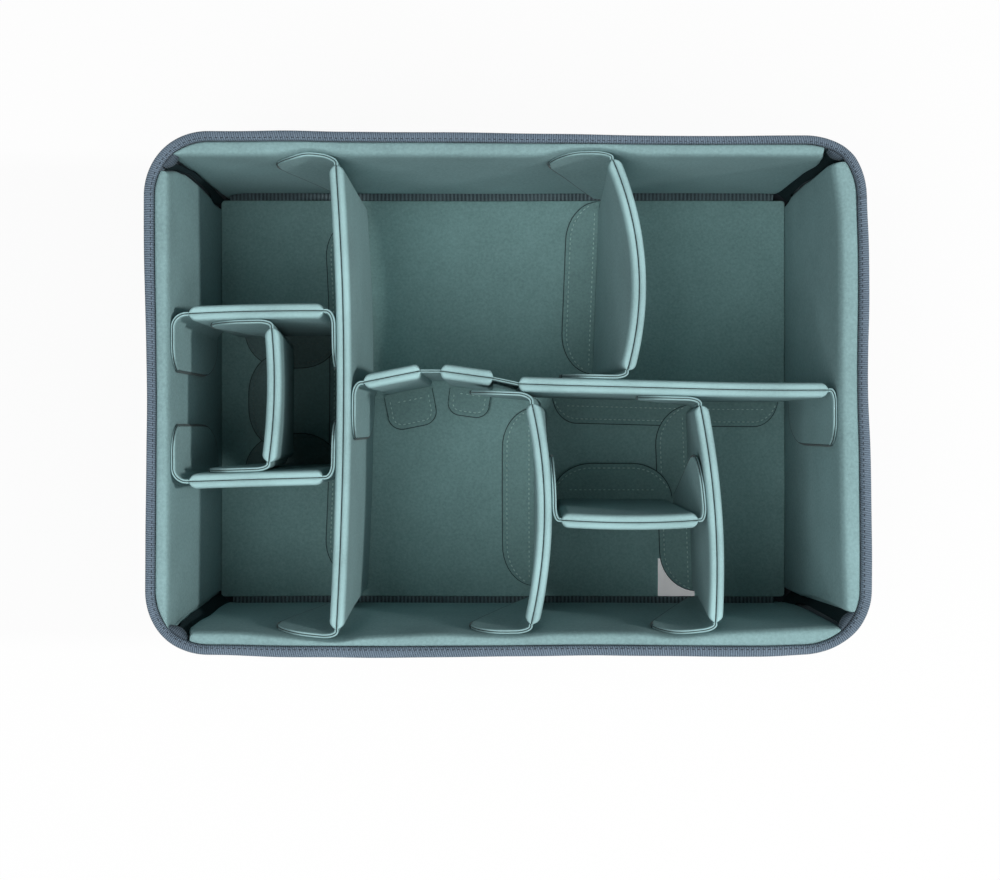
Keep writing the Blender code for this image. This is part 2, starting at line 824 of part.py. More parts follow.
def add_sectional_divider():
    """Three pads joined by two webs, so that the divider folds like a screen."""
    name = "sectional_divider"
    foot = (sectional_right.pad_end(0, floor_top) + sectional_right.pad_end(1, floor_top)) / 2
    carrier = add_empty(name, sectional_right.point(foot, sectional_right.foot_height))
    sectional_left.add_pad(carrier, name + "_left_pad")
    sectional_middle.add_pad(carrier, name + "_middle_pad")
    sectional_right.add_pad(carrier, name + "_right_pad")
    add_web(name + "_left_web", sectional_left, sectional_middle, carrier)
    add_web(name + "_right_web", sectional_middle, sectional_right, carrier)
    sectional_left.add_tab(0, name + "_left_tab", carrier)
    sectional_right.add_tab(1, name + "_right_tab", carrier)
    tongue_gaps = (tongue_end_gap, tongue_end_gap)
    sectional_left.add_flap(name + "_left_flap", carrier, True, width=left_tongue_length,
                            rounding=tongue_round, end_gaps=tongue_gaps, tongue=True)
    sectional_middle.add_flap(name + "_middle_flap", carrier, True, width=middle_tongue_length,
                              rounding=tongue_round, end_gaps=tongue_gaps, tongue=True)
    sectional_right.add_flap(name + "_right_flap", carrier, False, width=sectional_flap_width,
                             rounding=sectional_flap_round,
                             end_gaps=(sectional_flap_start, -sectional_flap_past_end))


def add_dividers():
    long_divider.add_all(("back", "front"), hinged=False)
    box_back.add_all(("left", "right"), hinged=False)
    box_front.add_all(("left", "right"), hinged=False)
    box_middle.add_all(("back", "front"), hinged=True)
    add_sectional_divider()
    back_divider.add_all(("back", "front"), hinged=True, end_gaps=(-flap_past_end, flap_past_end))
    front_left.add_all(("back", "front"), hinged=True, end_gaps=(0, flap_past_end))
    front_right.add_all(("back", "front"), hinged=False, end_gaps=(-flap_past_end, 0))
    cross_divider.add_all(("left", "right"), hinged=True, width=cross_flap_width,
                          end_gaps=(-cross_flap_past_end, -cross_flap_past_end))


clear_scene()
add_shell()
add_walls()
add_floor_pad()
add_tapes()
add_dividers()
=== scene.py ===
"""Looks of the camera bag insert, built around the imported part. Lengths are in metres, and in
millimetres where a comment says so."""

import json
import math

import bpy
import bmesh
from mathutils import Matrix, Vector, noise


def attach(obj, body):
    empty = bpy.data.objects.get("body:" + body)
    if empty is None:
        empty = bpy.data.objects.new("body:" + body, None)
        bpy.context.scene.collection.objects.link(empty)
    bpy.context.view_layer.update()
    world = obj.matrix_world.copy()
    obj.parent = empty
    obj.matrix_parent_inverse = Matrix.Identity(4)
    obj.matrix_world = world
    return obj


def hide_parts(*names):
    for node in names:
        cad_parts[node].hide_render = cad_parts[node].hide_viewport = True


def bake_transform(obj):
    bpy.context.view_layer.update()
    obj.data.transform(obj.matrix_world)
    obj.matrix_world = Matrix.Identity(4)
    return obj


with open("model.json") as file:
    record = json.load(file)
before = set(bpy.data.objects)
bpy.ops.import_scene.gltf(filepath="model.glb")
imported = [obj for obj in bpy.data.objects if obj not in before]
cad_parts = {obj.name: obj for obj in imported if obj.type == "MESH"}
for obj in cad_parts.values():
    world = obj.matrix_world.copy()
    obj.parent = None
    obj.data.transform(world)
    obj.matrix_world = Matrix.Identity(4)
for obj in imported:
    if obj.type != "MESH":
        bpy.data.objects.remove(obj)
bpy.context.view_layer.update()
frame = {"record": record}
body_of = {}
for body_name, members in frame["record"]["behaviour"]["bodies"].items():
    for member in members:
        body_of[member] = body_name

# The part's own sizes
insert_length = 0.400
insert_width = 0.289
insert_height = 0.165
corner_radius = 0.036
seat_gap = 0.0003
shell_thickness = 0.0030
base_thickness = 0.0030
binding_thickness = 0.0009
binding_depth = 0.0110
left_wall_thickness = 0.0140
right_wall_thickness = 0.0168
end_wall_thickness = 0.0141
pad_top_drop = 0.0015
floor_pad_thickness = 0.0102
floor_inset = 0.0010
divider_thickness = 0.0085
divider_top_drop = 0.0030
tab_thickness = 0.0023
tab_fold_run = 0.0075
tight_fold = 0.0026
middle_fold = 0.0042
wide_fold = 0.0076
tab_top_drop = 0.0008
long_tab_reach = 0.0350
long_tab_floor_gap = 0.0165
short_tab_reach = 0.0310
short_tab_floor_gap = 0.0235
flap_thickness = 0.0012
flap_width = 0.0205
flap_round = 0.0260
flap_end_gap = 0.0060
flap_past_end = 0.0030

half_length = insert_length / 2
half_width = insert_width / 2
shell_outer = binding_thickness + seat_gap
shell_inner = shell_outer + shell_thickness
binding_inner = shell_inner + seat_gap + binding_thickness
pad_outer = shell_inner + seat_gap
pad_rim = binding_inner + seat_gap
inner_left = left_wall_thickness - half_length
inner_right = half_length - right_wall_thickness
inner_back = half_width - end_wall_thickness
inner_front = -inner_back
floor_under = base_thickness + seat_gap
floor_top = floor_under + floor_pad_thickness
wall_top = insert_height - pad_top_drop
inner_depth = wall_top - floor_top
leg_end = insert_height - binding_depth
divider_top = wall_top - divider_top_drop
divider_half = divider_thickness / 2
tab_half = tab_thickness / 2
flap_step = flap_thickness + seat_gap
root_room = 0.0010 + seat_gap

# How far out the rim stands from a true outline: place along the side, shift, both in millimetres
back_shifts = ((-200, -0.3), (-150, -0.6), (-120, -0.1), (-90, -0.7), (-30, -0.9), (10, -1.4),
               (45, -2.1), (80, -3.0), (110, -3.2), (145, -2.8), (200, -2.8))
front_shifts = ((-200, -0.6), (-158, -0.5), (-125, 1.0), (-90, 1.3), (-58, 1.3), (-25, 0.6),
                (10, 0.3), (40, 0.0), (140, 0.3), (172, -1.1), (200, -1.1))
left_shifts = ((-144, -0.9), (-114, -1.1), (-86, -1.1), (-59, -1.4), (-31, -1.9), (-4, -2.2),
               (24, -1.7), (51, -1.0), (79, -0.3), (144, -0.3))
right_shifts = ((-144, 1.0), (-114, 1.1), (-86, 1.1), (-59, 0.6), (-31, 0.3), (-4, -0.8), (24, -0.8),
                (51, -0.3), (79, -0.5), (106, -1.6), (144, -1.8))

# Each wall pad's ends: share of the inner height, place along the wall in millimetres
back_starts = ((0, -183.4), (0.25, -182.6), (0.60, -182.2), (0.78, -183.6), (0.90, -184.9), (1, -183.7))
back_stops = ((0, 176.4), (0.30, 176.2), (0.62, 176.8), (0.80, 178.9), (0.90, 177.6), (1, 175.2))
front_starts = ((0, -179.4), (0.30, -179.2), (0.54, -177.8), (0.72, -179.0), (0.86, -178.4), (1, -174.4))
front_stops = ((0, 180.4), (0.16, 181.6), (0.24, 184.2), (0.40, 185.4), (0.85, 185.5), (1, 184.4))
left_starts = ((0, -126.4), (0.16, -126.4), (0.26, -127.2), (0.56, -127.6), (0.80, -128.6),
               (0.92, -130.4), (1, -129.9))
left_stops = ((0, 125.0), (0.13, 124.6), (0.24, 127.2), (0.45, 128.0), (0.65, 128.2), (0.80, 126.6),
              (1, 122.4))
right_starts = ((0, -124.8), (0.26, -124.4), (0.50, -121.2), (0.80, -120.1), (1, -120.4))
right_stops = ((0, 127.0), (0.06, 127.8), (0.13, 129.8), (0.38, 130.3), (0.60, 129.4), (0.85, 128.8),
               (1, 127.4))

# How far a pad's lip leans in, or out where a tab presses it: place along the wall, lean, in millimetres
back_leans = ((-131, 0), (-121, -1.2), (-111, -3.2), (-102, -2.6), (-95, -0.9), (-88, -0.1), (-80, 0),
              (14, 0), (22, -0.8), (30, -2.9), (38, -4.4), (47, -4.7), (55, -4.3), (62, -2.8),
              (69, -0.9), (76, 0))
front_leans = ((-175, -0.6), (-150, -1.0), (-131, -2.4), (-112, -4.4), (-99, -5.6), (-91, -5.5),
               (-80, -3.6), (-62, -2.7), (-35, -1.7), (-10, -2.8), (8, -2.8), (22, -1.6), (60, -1.1),
               (76, -1.4), (90, -3.1), (101, -2.8), (112, -1.6), (125, -0.4), (145, 0.6), (172, 2.0))
right_leans = ((-124, -3.0), (-70, -1.0), (0, 0), (95, 0.4), (128, 4.6))

# Sections. A foot: share of the pad's thickness, share of the inner height. A lip: share of the
# thickness, share of the lip's height. The rest: share of the half thickness, distance from the edge.
end_pad_foot = ((0.50, 0.0), (0.34, 0.035), (0.15, 0.10), (0.03, 0.19), (0.0, 0.30))
side_pad_foot = ((0.012, 0.0), (0.004, 0.001), (0.0, 0.004))
pad_lip = ((0.0, 1.0), (0.025, 0.66), (0.085, 0.36), (0.19, 0.13), (0.34, 0.02), (0.55, 0.0),
           (0.80, 0.03), (0.93, 0.14), (1.0, 0.34))
pad_lip_height = 0.0060
pad_crown = ((1.0, 0.0046), (0.99, 0.0034), (0.95, 0.0022), (0.87, 0.0012), (0.76, 0.0005),
             (0.62, 0.0001), (0.48, 0.0), (0.31, 0.0), (0.19, 0.0002), (0.09, 0.0005), (0.0, 0.0009))
pad_foot = ((0.62, 0.0), (0.80, 0.0003), (0.93, 0.0011), (1.0, 0.0024))
tab_crown = ((1.0, 0.0013), (0.97, 0.0007), (0.84, 0.0002), (0.60, 0.0), (0.36, 0.0001),
             (0.16, 0.0004), (0.0, 0.0006))
tab_bend_steps = 12
lobe_stations = (0.05, 0.11, 0.18, 0.26, 0.34, 0.42, 0.50, 0.57, 0.64, 0.70, 0.76, 0.81, 0.86, 0.90,
                 0.935, 0.96, 0.98, 0.992, 1.0)
rim_cord_drop = 0.00035
pad_station_pitch = 0.00125
pucker_pitch = 0.0033
pucker_depth = 0.00022
end_dip = 0.0012
tab_bend_height = 0.08
tab_bend_slant = 0.35
tab_bend_share = 0.75
thread_drop = 0.00022
flap_seam_inset = 0.0030


def lerp(first, last, share):
    return first + (last - first) * share


def clamp(value, low=0.0, high=1.0):
    return min(max(value, low), high)


def quarter(share):
    """The rise of a quarter circle, from 0 to 1."""
    return math.sqrt(max(1 - (1 - clamp(share)) ** 2, 0))


def circle(count, first=0.0):
    return [(step + first) / count * 2 * math.pi for step in range(count)]


def raised(spot, height):
    return Vector((spot.x, spot.y, height))


def wobble(x, y, z):
    return noise.noise(Vector((x, y, z)))


def smooth_table(table, steps):
    """A table of (share, value) drawn as a smooth curve with steps points in each stretch."""
    found = []
    padded = [table[0], *table, table[-1]]
    for stretch in zip(padded, padded[1:], padded[2:], padded[3:]):
        for step in range(steps):
            t = step / steps
            found.append(tuple(0.5 * (2 * b + (c - a) * t + (2 * a - 5 * b + 4 * c - d) * t * t
                                      + (3 * b - a - 3 * c + d) * t * t * t)
                               for a, b, c, d in zip(*stretch)))
    return found + [table[-1]]


def flow_at(table, place):
    """The value at a place in a table of (place, value), on a smooth line through its entries."""
    if place <= table[0][0]:
        return table[0][1]
    padded = [table[0], *table, table[-1]]
    for before, (start, first), (end, last), after in zip(padded, table, table[1:], padded[3:]):
        if place <= end:
            run = end - start
            rise = (last - before[1]) / (end - before[0]) * run
            fall = (after[1] - first) / (after[0] - start) * run
            share = (place - start) / run
            return (first * (1 + 2 * share) * (1 - share) ** 2 + rise * share * (1 - share) ** 2
                    + last * share * share * (3 - 2 * share) + fall * share * share * (share - 1))
    return table[-1][1]


def table_at(table, place):
    """The value at a place in a table of (place, value), eased from each entry to the next."""
    for first, last in zip(table, table[1:]):
        if place <= last[0]:
            share = clamp((place - first[0]) / (last[0] - first[0]))
            return lerp(first[1], last[1], share * share * (3 - 2 * share))
    return table[-1][1]


# Soft irregularity. The rim's shifts fade out over the bands, which reach in from the outline
sway_size = 0.085
sway_amount = 0.00045
lift_amount = 0.0005
sway_seeds = ((3.1, -7.7, 0.4), (-11.3, 2.9, 5.2), (8.8, 4.1, 9.6))
side_band = 0.0150
end_band = 0.0145


def sway(point):
    """One gentle field moves every piece, so that they keep their gaps, and the rim gives way most."""
    x, y, z = point
    drift = [wobble(x / sway_size + a, y / sway_size + b, c) for a, b, c in sway_seeds]
    rise = z / insert_height
    give = clamp(rise) ** 2 / 1000
    sides = flow_at(right_shifts if x > 0 else left_shifts, y * 1000) * give
    ends = flow_at(back_shifts if y > 0 else front_shifts, x * 1000) * give
    near_side = math.copysign(clamp((abs(x) - half_length + side_band) / side_band), x)
    near_end = math.copysign(clamp((abs(y) - half_width + end_band) / end_band), y)
    return Vector((x + sway_amount * drift[0] + near_side * sides,
                   y + sway_amount * drift[1] + near_end * ends, z + lift_amount * drift[2] * rise))


def shade(colour, amount=1.0):
    return (*(clamp(part * amount) for part in colour), 1.0)


class Cloth:
    """A material's nodes. place is the point, and along and across run with the weave, in metres."""

    def __init__(self, name, inputs):
        self.material = bpy.data.materials.new(name)
        self.material.use_nodes = True
        self.tree = self.material.node_tree
        self.shader = self.tree.nodes["Principled BSDF"]
        for key, value in inputs.items():
            self.shader.inputs[key].default_value = value
        spots = self.add("ShaderNodeTexCoord")
        self.place = spots.outputs["Object"]
        self.along, self.across, _ = self.add("ShaderNodeSeparateXYZ", {0: spots.outputs["UV"]}).outputs
        self.normal = None

    def add(self, kind, inputs=(), **settings):
        node = self.tree.nodes.new(kind)
        for key, value in settings.items():
            setattr(node, key, value)
        for key, value in dict(inputs).items():
            if isinstance(value, bpy.types.NodeSocket):
                self.tree.links.new(value, node.inputs[key])
            else:
                node.inputs[key].default_value = value
        return node

    def count(self, operation, first, second=0.0, third=0.0):
        return self.add("ShaderNodeMath", {0: first, 1: second, 2: third}, operation=operation).outputs[0]

    def gain(self, value, times, plus):
        return self.count("MULTIPLY_ADD", value, times, plus)

    def wave(self, line, pitch):
        return self.count("SINE", self.count("MULTIPLY", line, 2 * math.pi / pitch))

    def noise(self, scale, detail=2.0, roughness=0.5):
        return self.add("ShaderNodeTexNoise", {"Vector": self.place, "Scale": scale, "Detail": detail,
                                               "Roughness": roughness}).outputs["Fac"]

    def mix(self, share, first, last):
        return self.add("ShaderNodeMix", {0: share, 6: first, 7: last}, data_type="RGBA").outputs[2]

    def bump(self, height, distance, strength):
        """Each bump lies on the one before."""
        inputs = {"Strength": strength, "Distance": distance, "Height": height}
        if self.normal is not None:
            inputs["Normal"] = self.normal
        self.normal = self.add("ShaderNodeBump", inputs).outputs["Normal"]

    def finish(self, colour):
        self.tree.links.new(colour, self.shader.inputs["Base Color"])
        self.tree.links.new(self.normal, self.shader.inputs["Normal"])
        return self.material


def brushed_lining(name, colour, wear_and_highlight_share=0.30, wear_and_highlight_tone=1.45):
    """Brushed loop fabric: a soft heathered pile that hook tape grips, lighter at the top edges: partly
    wear, partly a painted highlight.
    """
    cloth = Cloth(name, {"Roughness": 0.92, "Specular IOR Level": 0.25, "Sheen Weight": 0.08,
                         "Sheen Roughness": 0.45, "Sheen Tint": (0.65, 0.92, 0.96, 1.0)})
    patches = cloth.noise(26.0, 2.0, 0.55)
    heather = cloth.noise(620.0, 3.0, 0.65)
    share = cloth.gain(heather, 1.50, cloth.gain(patches, 0.70, -0.60))
    colours = cloth.mix(share, shade(colour, 0.78), shade(colour, 1.22))
    height = cloth.add("ShaderNodeSeparateXYZ", {0: cloth.place}).outputs["Z"]
    # The top edges are mixed towards a lighter tone: partly wear, partly a painted highlight where light
    # catches the lips.
    wear_and_highlight = cloth.add("ShaderNodeMapRange", {
        "Value": height, "From Min": divider_top - 0.0045, "From Max": divider_top - 0.0005,
        "To Max": wear_and_highlight_share}).outputs[0]
    colours = cloth.mix(cloth.count("MULTIPLY", wear_and_highlight, patches), colours, shade(colour, wear_and_highlight_tone))
    cloth.bump(heather, 0.0005, 0.55)
    cloth.bump(cloth.noise(2100.0, 2.0, 0.6), 0.0002, 0.5)
    return cloth.finish(colours)


def ribbed_tape(name, valley, ridge, pitch, depth, roughness=0.62, sheen=0.12, shine=0.35):
    """Grosgrain tape: ribs across its length, with fine threads in them and dust on them."""
    cloth = Cloth(name, {"Roughness": roughness, "Specular IOR Level": shine, "Sheen Weight": sheen,
                         "Sheen Roughness": 0.4})
    along = cloth.gain(cloth.noise(60.0, 1.0), 0.0006, cloth.along)
    ribs = cloth.gain(cloth.wave(along, pitch), 0.5, 0.5)
    threads = cloth.wave(cloth.across, 0.00045)
    fleck = cloth.noise(1500.0)
    share = cloth.gain(fleck, 0.45, cloth.gain(ribs, 0.65, -0.10))
    colours = cloth.mix(share, shade(valley), shade(ridge))
    dust = cloth.gain(cloth.noise(40.0, 3.0, 0.6), 0.5, -0.18)
    colours = cloth.mix(dust, colours, shade(ridge, 1.25))
    cloth.bump(cloth.gain(threads, 0.08, ribs), depth, 0.9)
    cloth.bump(fleck, 0.00015, 0.5)
    return cloth.finish(colours)


def woven_shell(name, colour, pitch=0.0011):
    """Plain-woven nylon: a fine basket weave with a slight shine."""
    cloth = Cloth(name, {"Roughness": 0.58, "Specular IOR Level": 0.4, "Sheen Weight": 0.10})
    crossed = cloth.count("MULTIPLY", cloth.wave(cloth.along, pitch), cloth.wave(cloth.across, pitch))
    weave = cloth.gain(crossed, 0.5, 0.5)
    patches = cloth.noise(20.0, 4.0, 0.6)
    share = cloth.gain(cloth.noise(1300.0), 0.5, cloth.gain(weave, 0.55, -0.05))
    colours = cloth.mix(share, shade(colour, 0.62), shade(colour, 1.35))
    colours = cloth.mix(cloth.gain(patches, 0.6, -0.22), colours, shade(colour, 1.7))
    cloth.bump(weave, 0.00022, 0.8)
    cloth.bump(patches, 0.0008, 0.35)
    return cloth.finish(colours)


def twisted_thread(name, colour, roughness=0.55):
    cloth = Cloth(name, {"Roughness": roughness, "Sheen Weight": 0.1})
    twist = cloth.noise(2600.0)
    share = cloth.gain(twist, 0.7, cloth.gain(cloth.noise(90.0), 0.5, -0.1))
    cloth.bump(twist, 0.0001, 0.6)
    return cloth.finish(cloth.mix(share, shade(colour, 0.7), shade(colour, 1.25)))


def satin_label(name, colour):
    """A bare label of fine white satin, creased, with a faint painted glow that brightens it."""
    # The emission is painted light: it brightens the label though it is no lamp.
    cloth = Cloth(name, {"Roughness": 0.5, "Emission Color": (1.0, 0.99, 1.0, 1.0),
                         "Emission Strength": 0.16})
    creases = cloth.noise(160.0, 3.0)
    # The colour is darker along the same field that creases the label: painted shade in the creases.
    share = cloth.gain(creases, 0.8, cloth.gain(cloth.wave(cloth.across, 0.0006), 0.08, 0.1))
    cloth.bump(creases, 0.0006, 0.5)
    return cloth.finish(cloth.mix(share, shade(colour, 0.84), shade(colour)))


lining = brushed_lining("lining_fabric", (0.222, 0.358, 0.370), 0.10)
# The dividers' and tabs' tops get a strong lighter band: partly wear, partly a painted highlight.
divider_lining = brushed_lining("divider_fabric", (0.226, 0.358, 0.368), 1.25, 1.70)
floor_lining = brushed_lining("floor_fabric", (0.245, 0.415, 0.412))
flap_lining = brushed_lining("flap_fabric", (0.218, 0.365, 0.360))
# A darker copy of the flap cloth, for the flaps deep in the small box: painted shade.
painted_shade_flap_lining = brushed_lining("painted_shade_flap_fabric", (0.150, 0.235, 0.235))
binding_tape = ribbed_tape("binding_tape", (0.052, 0.084, 0.116), (0.245, 0.325, 0.415), 0.00125, 0.0005)
floor_tape = ribbed_tape("seam_tape", (0.026, 0.042, 0.050), (0.205, 0.285, 0.315), 0.0025, 0.0007, 0.7)
corner_tape = ribbed_tape("corner_tape", (0.007, 0.015, 0.018), (0.022, 0.042, 0.048), 0.0013, 0.0003,
                          0.85, 0.0, 0.12)
fold_tape = ribbed_tape("fold_tape", (0.030, 0.048, 0.066), (0.090, 0.125, 0.160), 0.0012, 0.0003)
shell_cloth = woven_shell("shell_nylon", (0.062, 0.088, 0.112))
base_cloth = woven_shell("base_nylon", (0.050, 0.070, 0.088))
seam_thread = twisted_thread("seam_thread", (0.020, 0.042, 0.046), 0.7)
pale_thread = twisted_thread("pale_thread", (0.470, 0.690, 0.660))
# A darker copy of the pale thread, for the stitches on those flaps: painted shade.
painted_shade_thread = twisted_thread("painted_shade_thread", (0.150, 0.230, 0.225))
# Dark cord for the tabs' and flaps' outlines: painted shadow in the gaps at their edges.
painted_shadow_cord = twisted_thread("painted_shadow_cord", (0.040, 0.076, 0.079), 0.8)
rim_thread = twisted_thread("rim_thread", (0.030, 0.046, 0.066))
label_cloth = satin_label("label_satin", (0.97, 0.965, 0.98))


def add_object(name, data):
    item = bpy.data.objects.new(name, data)
    bpy.context.scene.collection.objects.link(item)
    return item


def make_mesh(name, verts, faces, material, sharp=50, uvs=None):
    """A smooth piece, sharp where faces meet at more than sharp degrees. Its weave lies in plan
    unless uvs say otherwise."""
    uvs = uvs or [[(verts[corner][0], verts[corner][1]) for corner in face] for face in faces]
    mesh = bpy.data.meshes.new(name)
    mesh.from_pydata([tuple(sway(vert)) for vert in verts], [], faces)
    layer = mesh.uv_layers.new(name="weave")
    layer.data.foreach_set("uv", [value for corners in uvs for corner in corners for value in corner])
    shape = bmesh.new()
    shape.from_mesh(mesh)
    bmesh.ops.recalc_face_normals(shape, faces=shape.faces)
    shape.to_mesh(mesh)
    shape.free()
    mesh.shade_smooth()
    mesh.set_sharp_from_angle(angle=math.radians(sharp))
    mesh.materials.append(material)
    return add_object(name, mesh)


def lengths_of(points):
    """The length of a polyline up to each of its points."""
    lengths = [0.0]
    for first, last in zip(points, points[1:]):
        lengths.append(lengths[-1] + (last - first).length)
    return lengths


def runs_of(points):
    """The direction of a polyline at each of its points."""
    return [(after - before).normalized()
            for before, after in zip([points[0], *points], [*points[1:], points[-1]])]


def skin(name, rings, material, sharp=50, along=None, skews=None, looped=False):
    """Join closed rings of points into one body, with its length and girth laid out for the weave."""
    count = len(rings[0])
    verts = [point for ring in rings for point in ring]
    along = along or lengths_of([ring[0] for ring in rings])
    girths = [lengths_of([*ring, ring[0]]) for ring in rings]
    skews = skews or [0.0] * len(rings)
    faces = []
    uvs = []
    for first in range(len(rings) - (0 if looped else 1)):
        last = (first + 1) % len(rings)
        far = along[last] if last else along[first] + (rings[0][0] - rings[-1][0]).length
        for index in range(count):
            after = (index + 1) % count
            faces.append((first * count + index, first * count + after,
                          last * count + after, last * count + index))
            uvs.append([(place + skews[ring] * girths[ring][spot], girths[ring][spot])
                        for place, ring, spot in ((along[first], first, index),
                                                  (along[first], first, index + 1),
                                                  (far, last, index + 1), (far, last, index))])
    for base in () if looped else (0, len(verts) - count):
        for index in range(count // 2):
            other = count - 1 - index
            face = [base + corner for corner in dict.fromkeys((index, index + 1, other - 1, other))]
            if len(face) > 2:
                faces.append(tuple(face))
                uvs.append([(verts[corner][0], verts[corner][2]) for corner in face])
    return make_mesh(name, verts, faces, material, sharp, uvs)


def seam_line(name, points, sides, half_wide, half_high, material):
    """A thin cord that follows points. sides are the directions across it."""
    rings = []
    for point, run, side in zip(points, runs_of(points), sides):
        up = run.cross(side).normalized()
        rings.append([point + side * half_wide * math.cos(turn) + up * half_high * math.sin(turn)
                      for turn in circle(6, 0.5)])
    return skin(name, rings, material, 80)


def spaced(points, pitch):
    """Places at equal steps along a polyline, each with its direction."""
    lengths = lengths_of(points)
    steps = max(int(lengths[-1] / pitch), 1)
    index = 0
    for step in range(steps):
        place = (step + 0.5) * lengths[-1] / steps
        while index < len(points) - 2 and lengths[index + 1] < place:
            index += 1
        first, last = points[index], points[index + 1]
        share = (place - lengths[index]) / max(lengths[index + 1] - lengths[index], 1e-9)
        yield first.lerp(last, share), (last - first).normalized()


def straight_up(place):
    return Vector((0, 0, 1))


def side_normal(place):
    """The direction out of the insert's side at a place."""
    x = max(abs(place.x) - (half_length - corner_radius), 0) * math.copysign(1, place.x)
    y = max(abs(place.y) - (half_width - corner_radius), 0) * math.copysign(1, place.y)
    return Vector((x, y, 0)).normalized() if abs(x) + abs(y) > 1e-6 else straight_up(place)


def stitch_row(name, lines, material, normal_at=straight_up, pitch=0.0031, length=0.0022, radius=0.00036):
    """Separate stitches laid along each line, sunk at their ends."""
    verts = []
    faces = []
    for line in lines:
        for place, run in spaced(line, pitch):
            up = normal_at(place)
            side = up.cross(run).normalized()
            base = len(verts)
            sunk = place - up * radius * 0.9
            verts.append(sunk - run * length / 2)
            for share, size in ((-0.30, 0.85), (0.0, 1.0), (0.30, 0.85)):
                for turn in circle(6):
                    verts.append(place + run * length * share + side * radius * size * math.cos(turn)
                                 + up * radius * size * (0.45 + math.sin(turn)))
            verts.append(sunk + run * length / 2)
            for corner in range(6):
                after = (corner + 1) % 6
                faces.append((base, base + 1 + after, base + 1 + corner))
                for low in (base + 1, base + 7):
                    faces.append((low + corner, low + after, low + 6 + after, low + 6 + corner))
                faces.append((base + 19, base + 13 + corner, base + 13 + after))
    return make_mesh(name, verts, faces, material, 80)


def trim(piece, body, bend=None):
    """The piece moves with a body. Given a bend, its transform is only baked in, and it neither bends nor
    moves with a body.
    """
    if bend:
        other, start, end = bend
        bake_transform(piece)
        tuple(start)
        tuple(end)
    else:
        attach(piece, body)
    return piece


def dress(piece, node, bend=None):
    """The piece stands for a CAD node and moves with its body, unless a bend is given."""
    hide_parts(node)
    trim(piece, body_of[node], bend)


def outline(spacing):
    """Places round the insert, with the direction out and the length so far at each."""
    found = []
    length = 0.0
    arc = corner_radius * math.pi / 2
    bends = max(int(arc / spacing), 12)
    corners = [Vector((side_x * (half_length - corner_radius), side_y * (half_width - corner_radius)))
               for side_x, side_y in ((1, 1), (-1, 1), (-1, -1), (1, -1))]
    for turn, corner in enumerate(corners):
        for step in range(bends + 1):
            angle = (turn + step / bends) * math.pi / 2
            out = Vector((math.cos(angle), math.sin(angle)))
            found.append((corner + out * corner_radius, out, length + step / bends * arc))
        length += arc
        start = found[-1][0]
        end = corners[(turn + 1) % 4] + out * corner_radius
        run = (end - start).length
        steps = max(int(run / spacing), 1)
        for step in range(1, steps):
            found.append((start.lerp(end, step / steps), out, length + run * step / steps))
        length += run
    return found


def ring_round(inset, height, spacing):
    return [raised(place - out * inset, height) for place, out, _ in outline(spacing)]


def sweep_outline(name, profile, material, spacing, skew_at=None, shift_at=None):
    """A profile of (inset, height) swept round the insert. skew_at slants the weave, and shift_at
    moves the cloth out."""
    rings = []
    path = outline(spacing)
    for place, out, length in path:
        rings.append([raised(place - out * (inset - (shift_at(length, inset, height) if shift_at else 0.0)),
                             height) for inset, height in profile])
    skews = [skew_at(length) for _, _, length in path] if skew_at else None
    return skin(name, rings, material, 60, [length for _, _, length in path], skews, looped=True)


def stitch_round(name, slot, inset, height, spacing, *stitch):
    ring = ring_round(inset, height, spacing)
    trim(stitch_row(name, [ring + ring[:1]], rim_thread, *stitch), "box")


def add_shell():
    band_low = floor_under
    band_top = insert_height - binding_thickness - seat_gap

    def belly(length, inset, height):
        """The outer cloth is drawn in at its seams, and full between them."""
        level = (height - band_low) / (leg_end - band_low)
        if level >= 1 or inset == shell_inner:
            return 0.0
        ripple = wobble(length * 22, height * 12, 2.2)
        slack = wobble(length * 9, height * 5, 6.1)
        return clamp(min(level, 1 - level) * 9) * (0.00060 + 0.00050 * ripple + 0.00060 * slack)

    rows = 30
    profile = [(shell_outer + inset, band_low + rise)
               for inset, rise in ((0.0016, 0.0), (0.0009, 0.0004), (0.0003, 0.0010), (0.0, 0.0020))]
    profile += [(shell_outer, lerp(profile[-1][1], band_top, row / rows)) for row in range(1, rows + 1)]
    profile += [(shell_inner, lerp(band_top, band_low, share)) for share in (0.0, 0.5, 1.0)]
    shell = sweep_outline("shell_band", profile, shell_cloth, 0.0035, shift_at=belly)
    dress(shell, "side_shell")

    # Piping round the foot, and the stitches that hold it
    piping = [(shell_outer + 0.00005 + 0.00065 * math.cos(turn), band_low + 0.0030 + 0.0013 * math.sin(turn))
              for turn in circle(10)]
    trim(sweep_outline("foot_piping", piping, binding_tape, 0.003), "box")
    stitch_round("foot_stitches", "shell", shell_outer - 0.0004, band_low + 0.0075, 0.004,
                 side_normal, 0.0034, 0.0024, 0.00026)

    loops = [ring_round(shell_outer + inset, height, 0.006) for inset, height in (
        (0.0048, 0.0), (0.0028, 0.0002), (0.0017, 0.0007), (0.0012, 0.0015), (0.0012, 0.0024),
        (0.0016, base_thickness))]
    count = len(loops[0])
    size = count * len(loops)
    faces = [(row + index, row + (index + 1) % count, row + count + (index + 1) % count,
              row + count + index) for row in range(0, size - count, count) for index in range(count)]
    faces += [tuple(range(count)), tuple(range(size - count, size))]
    base = make_mesh("base_panel", [point for loop in loops for point in loop], faces, base_cloth)
    dress(base, "base_shell")


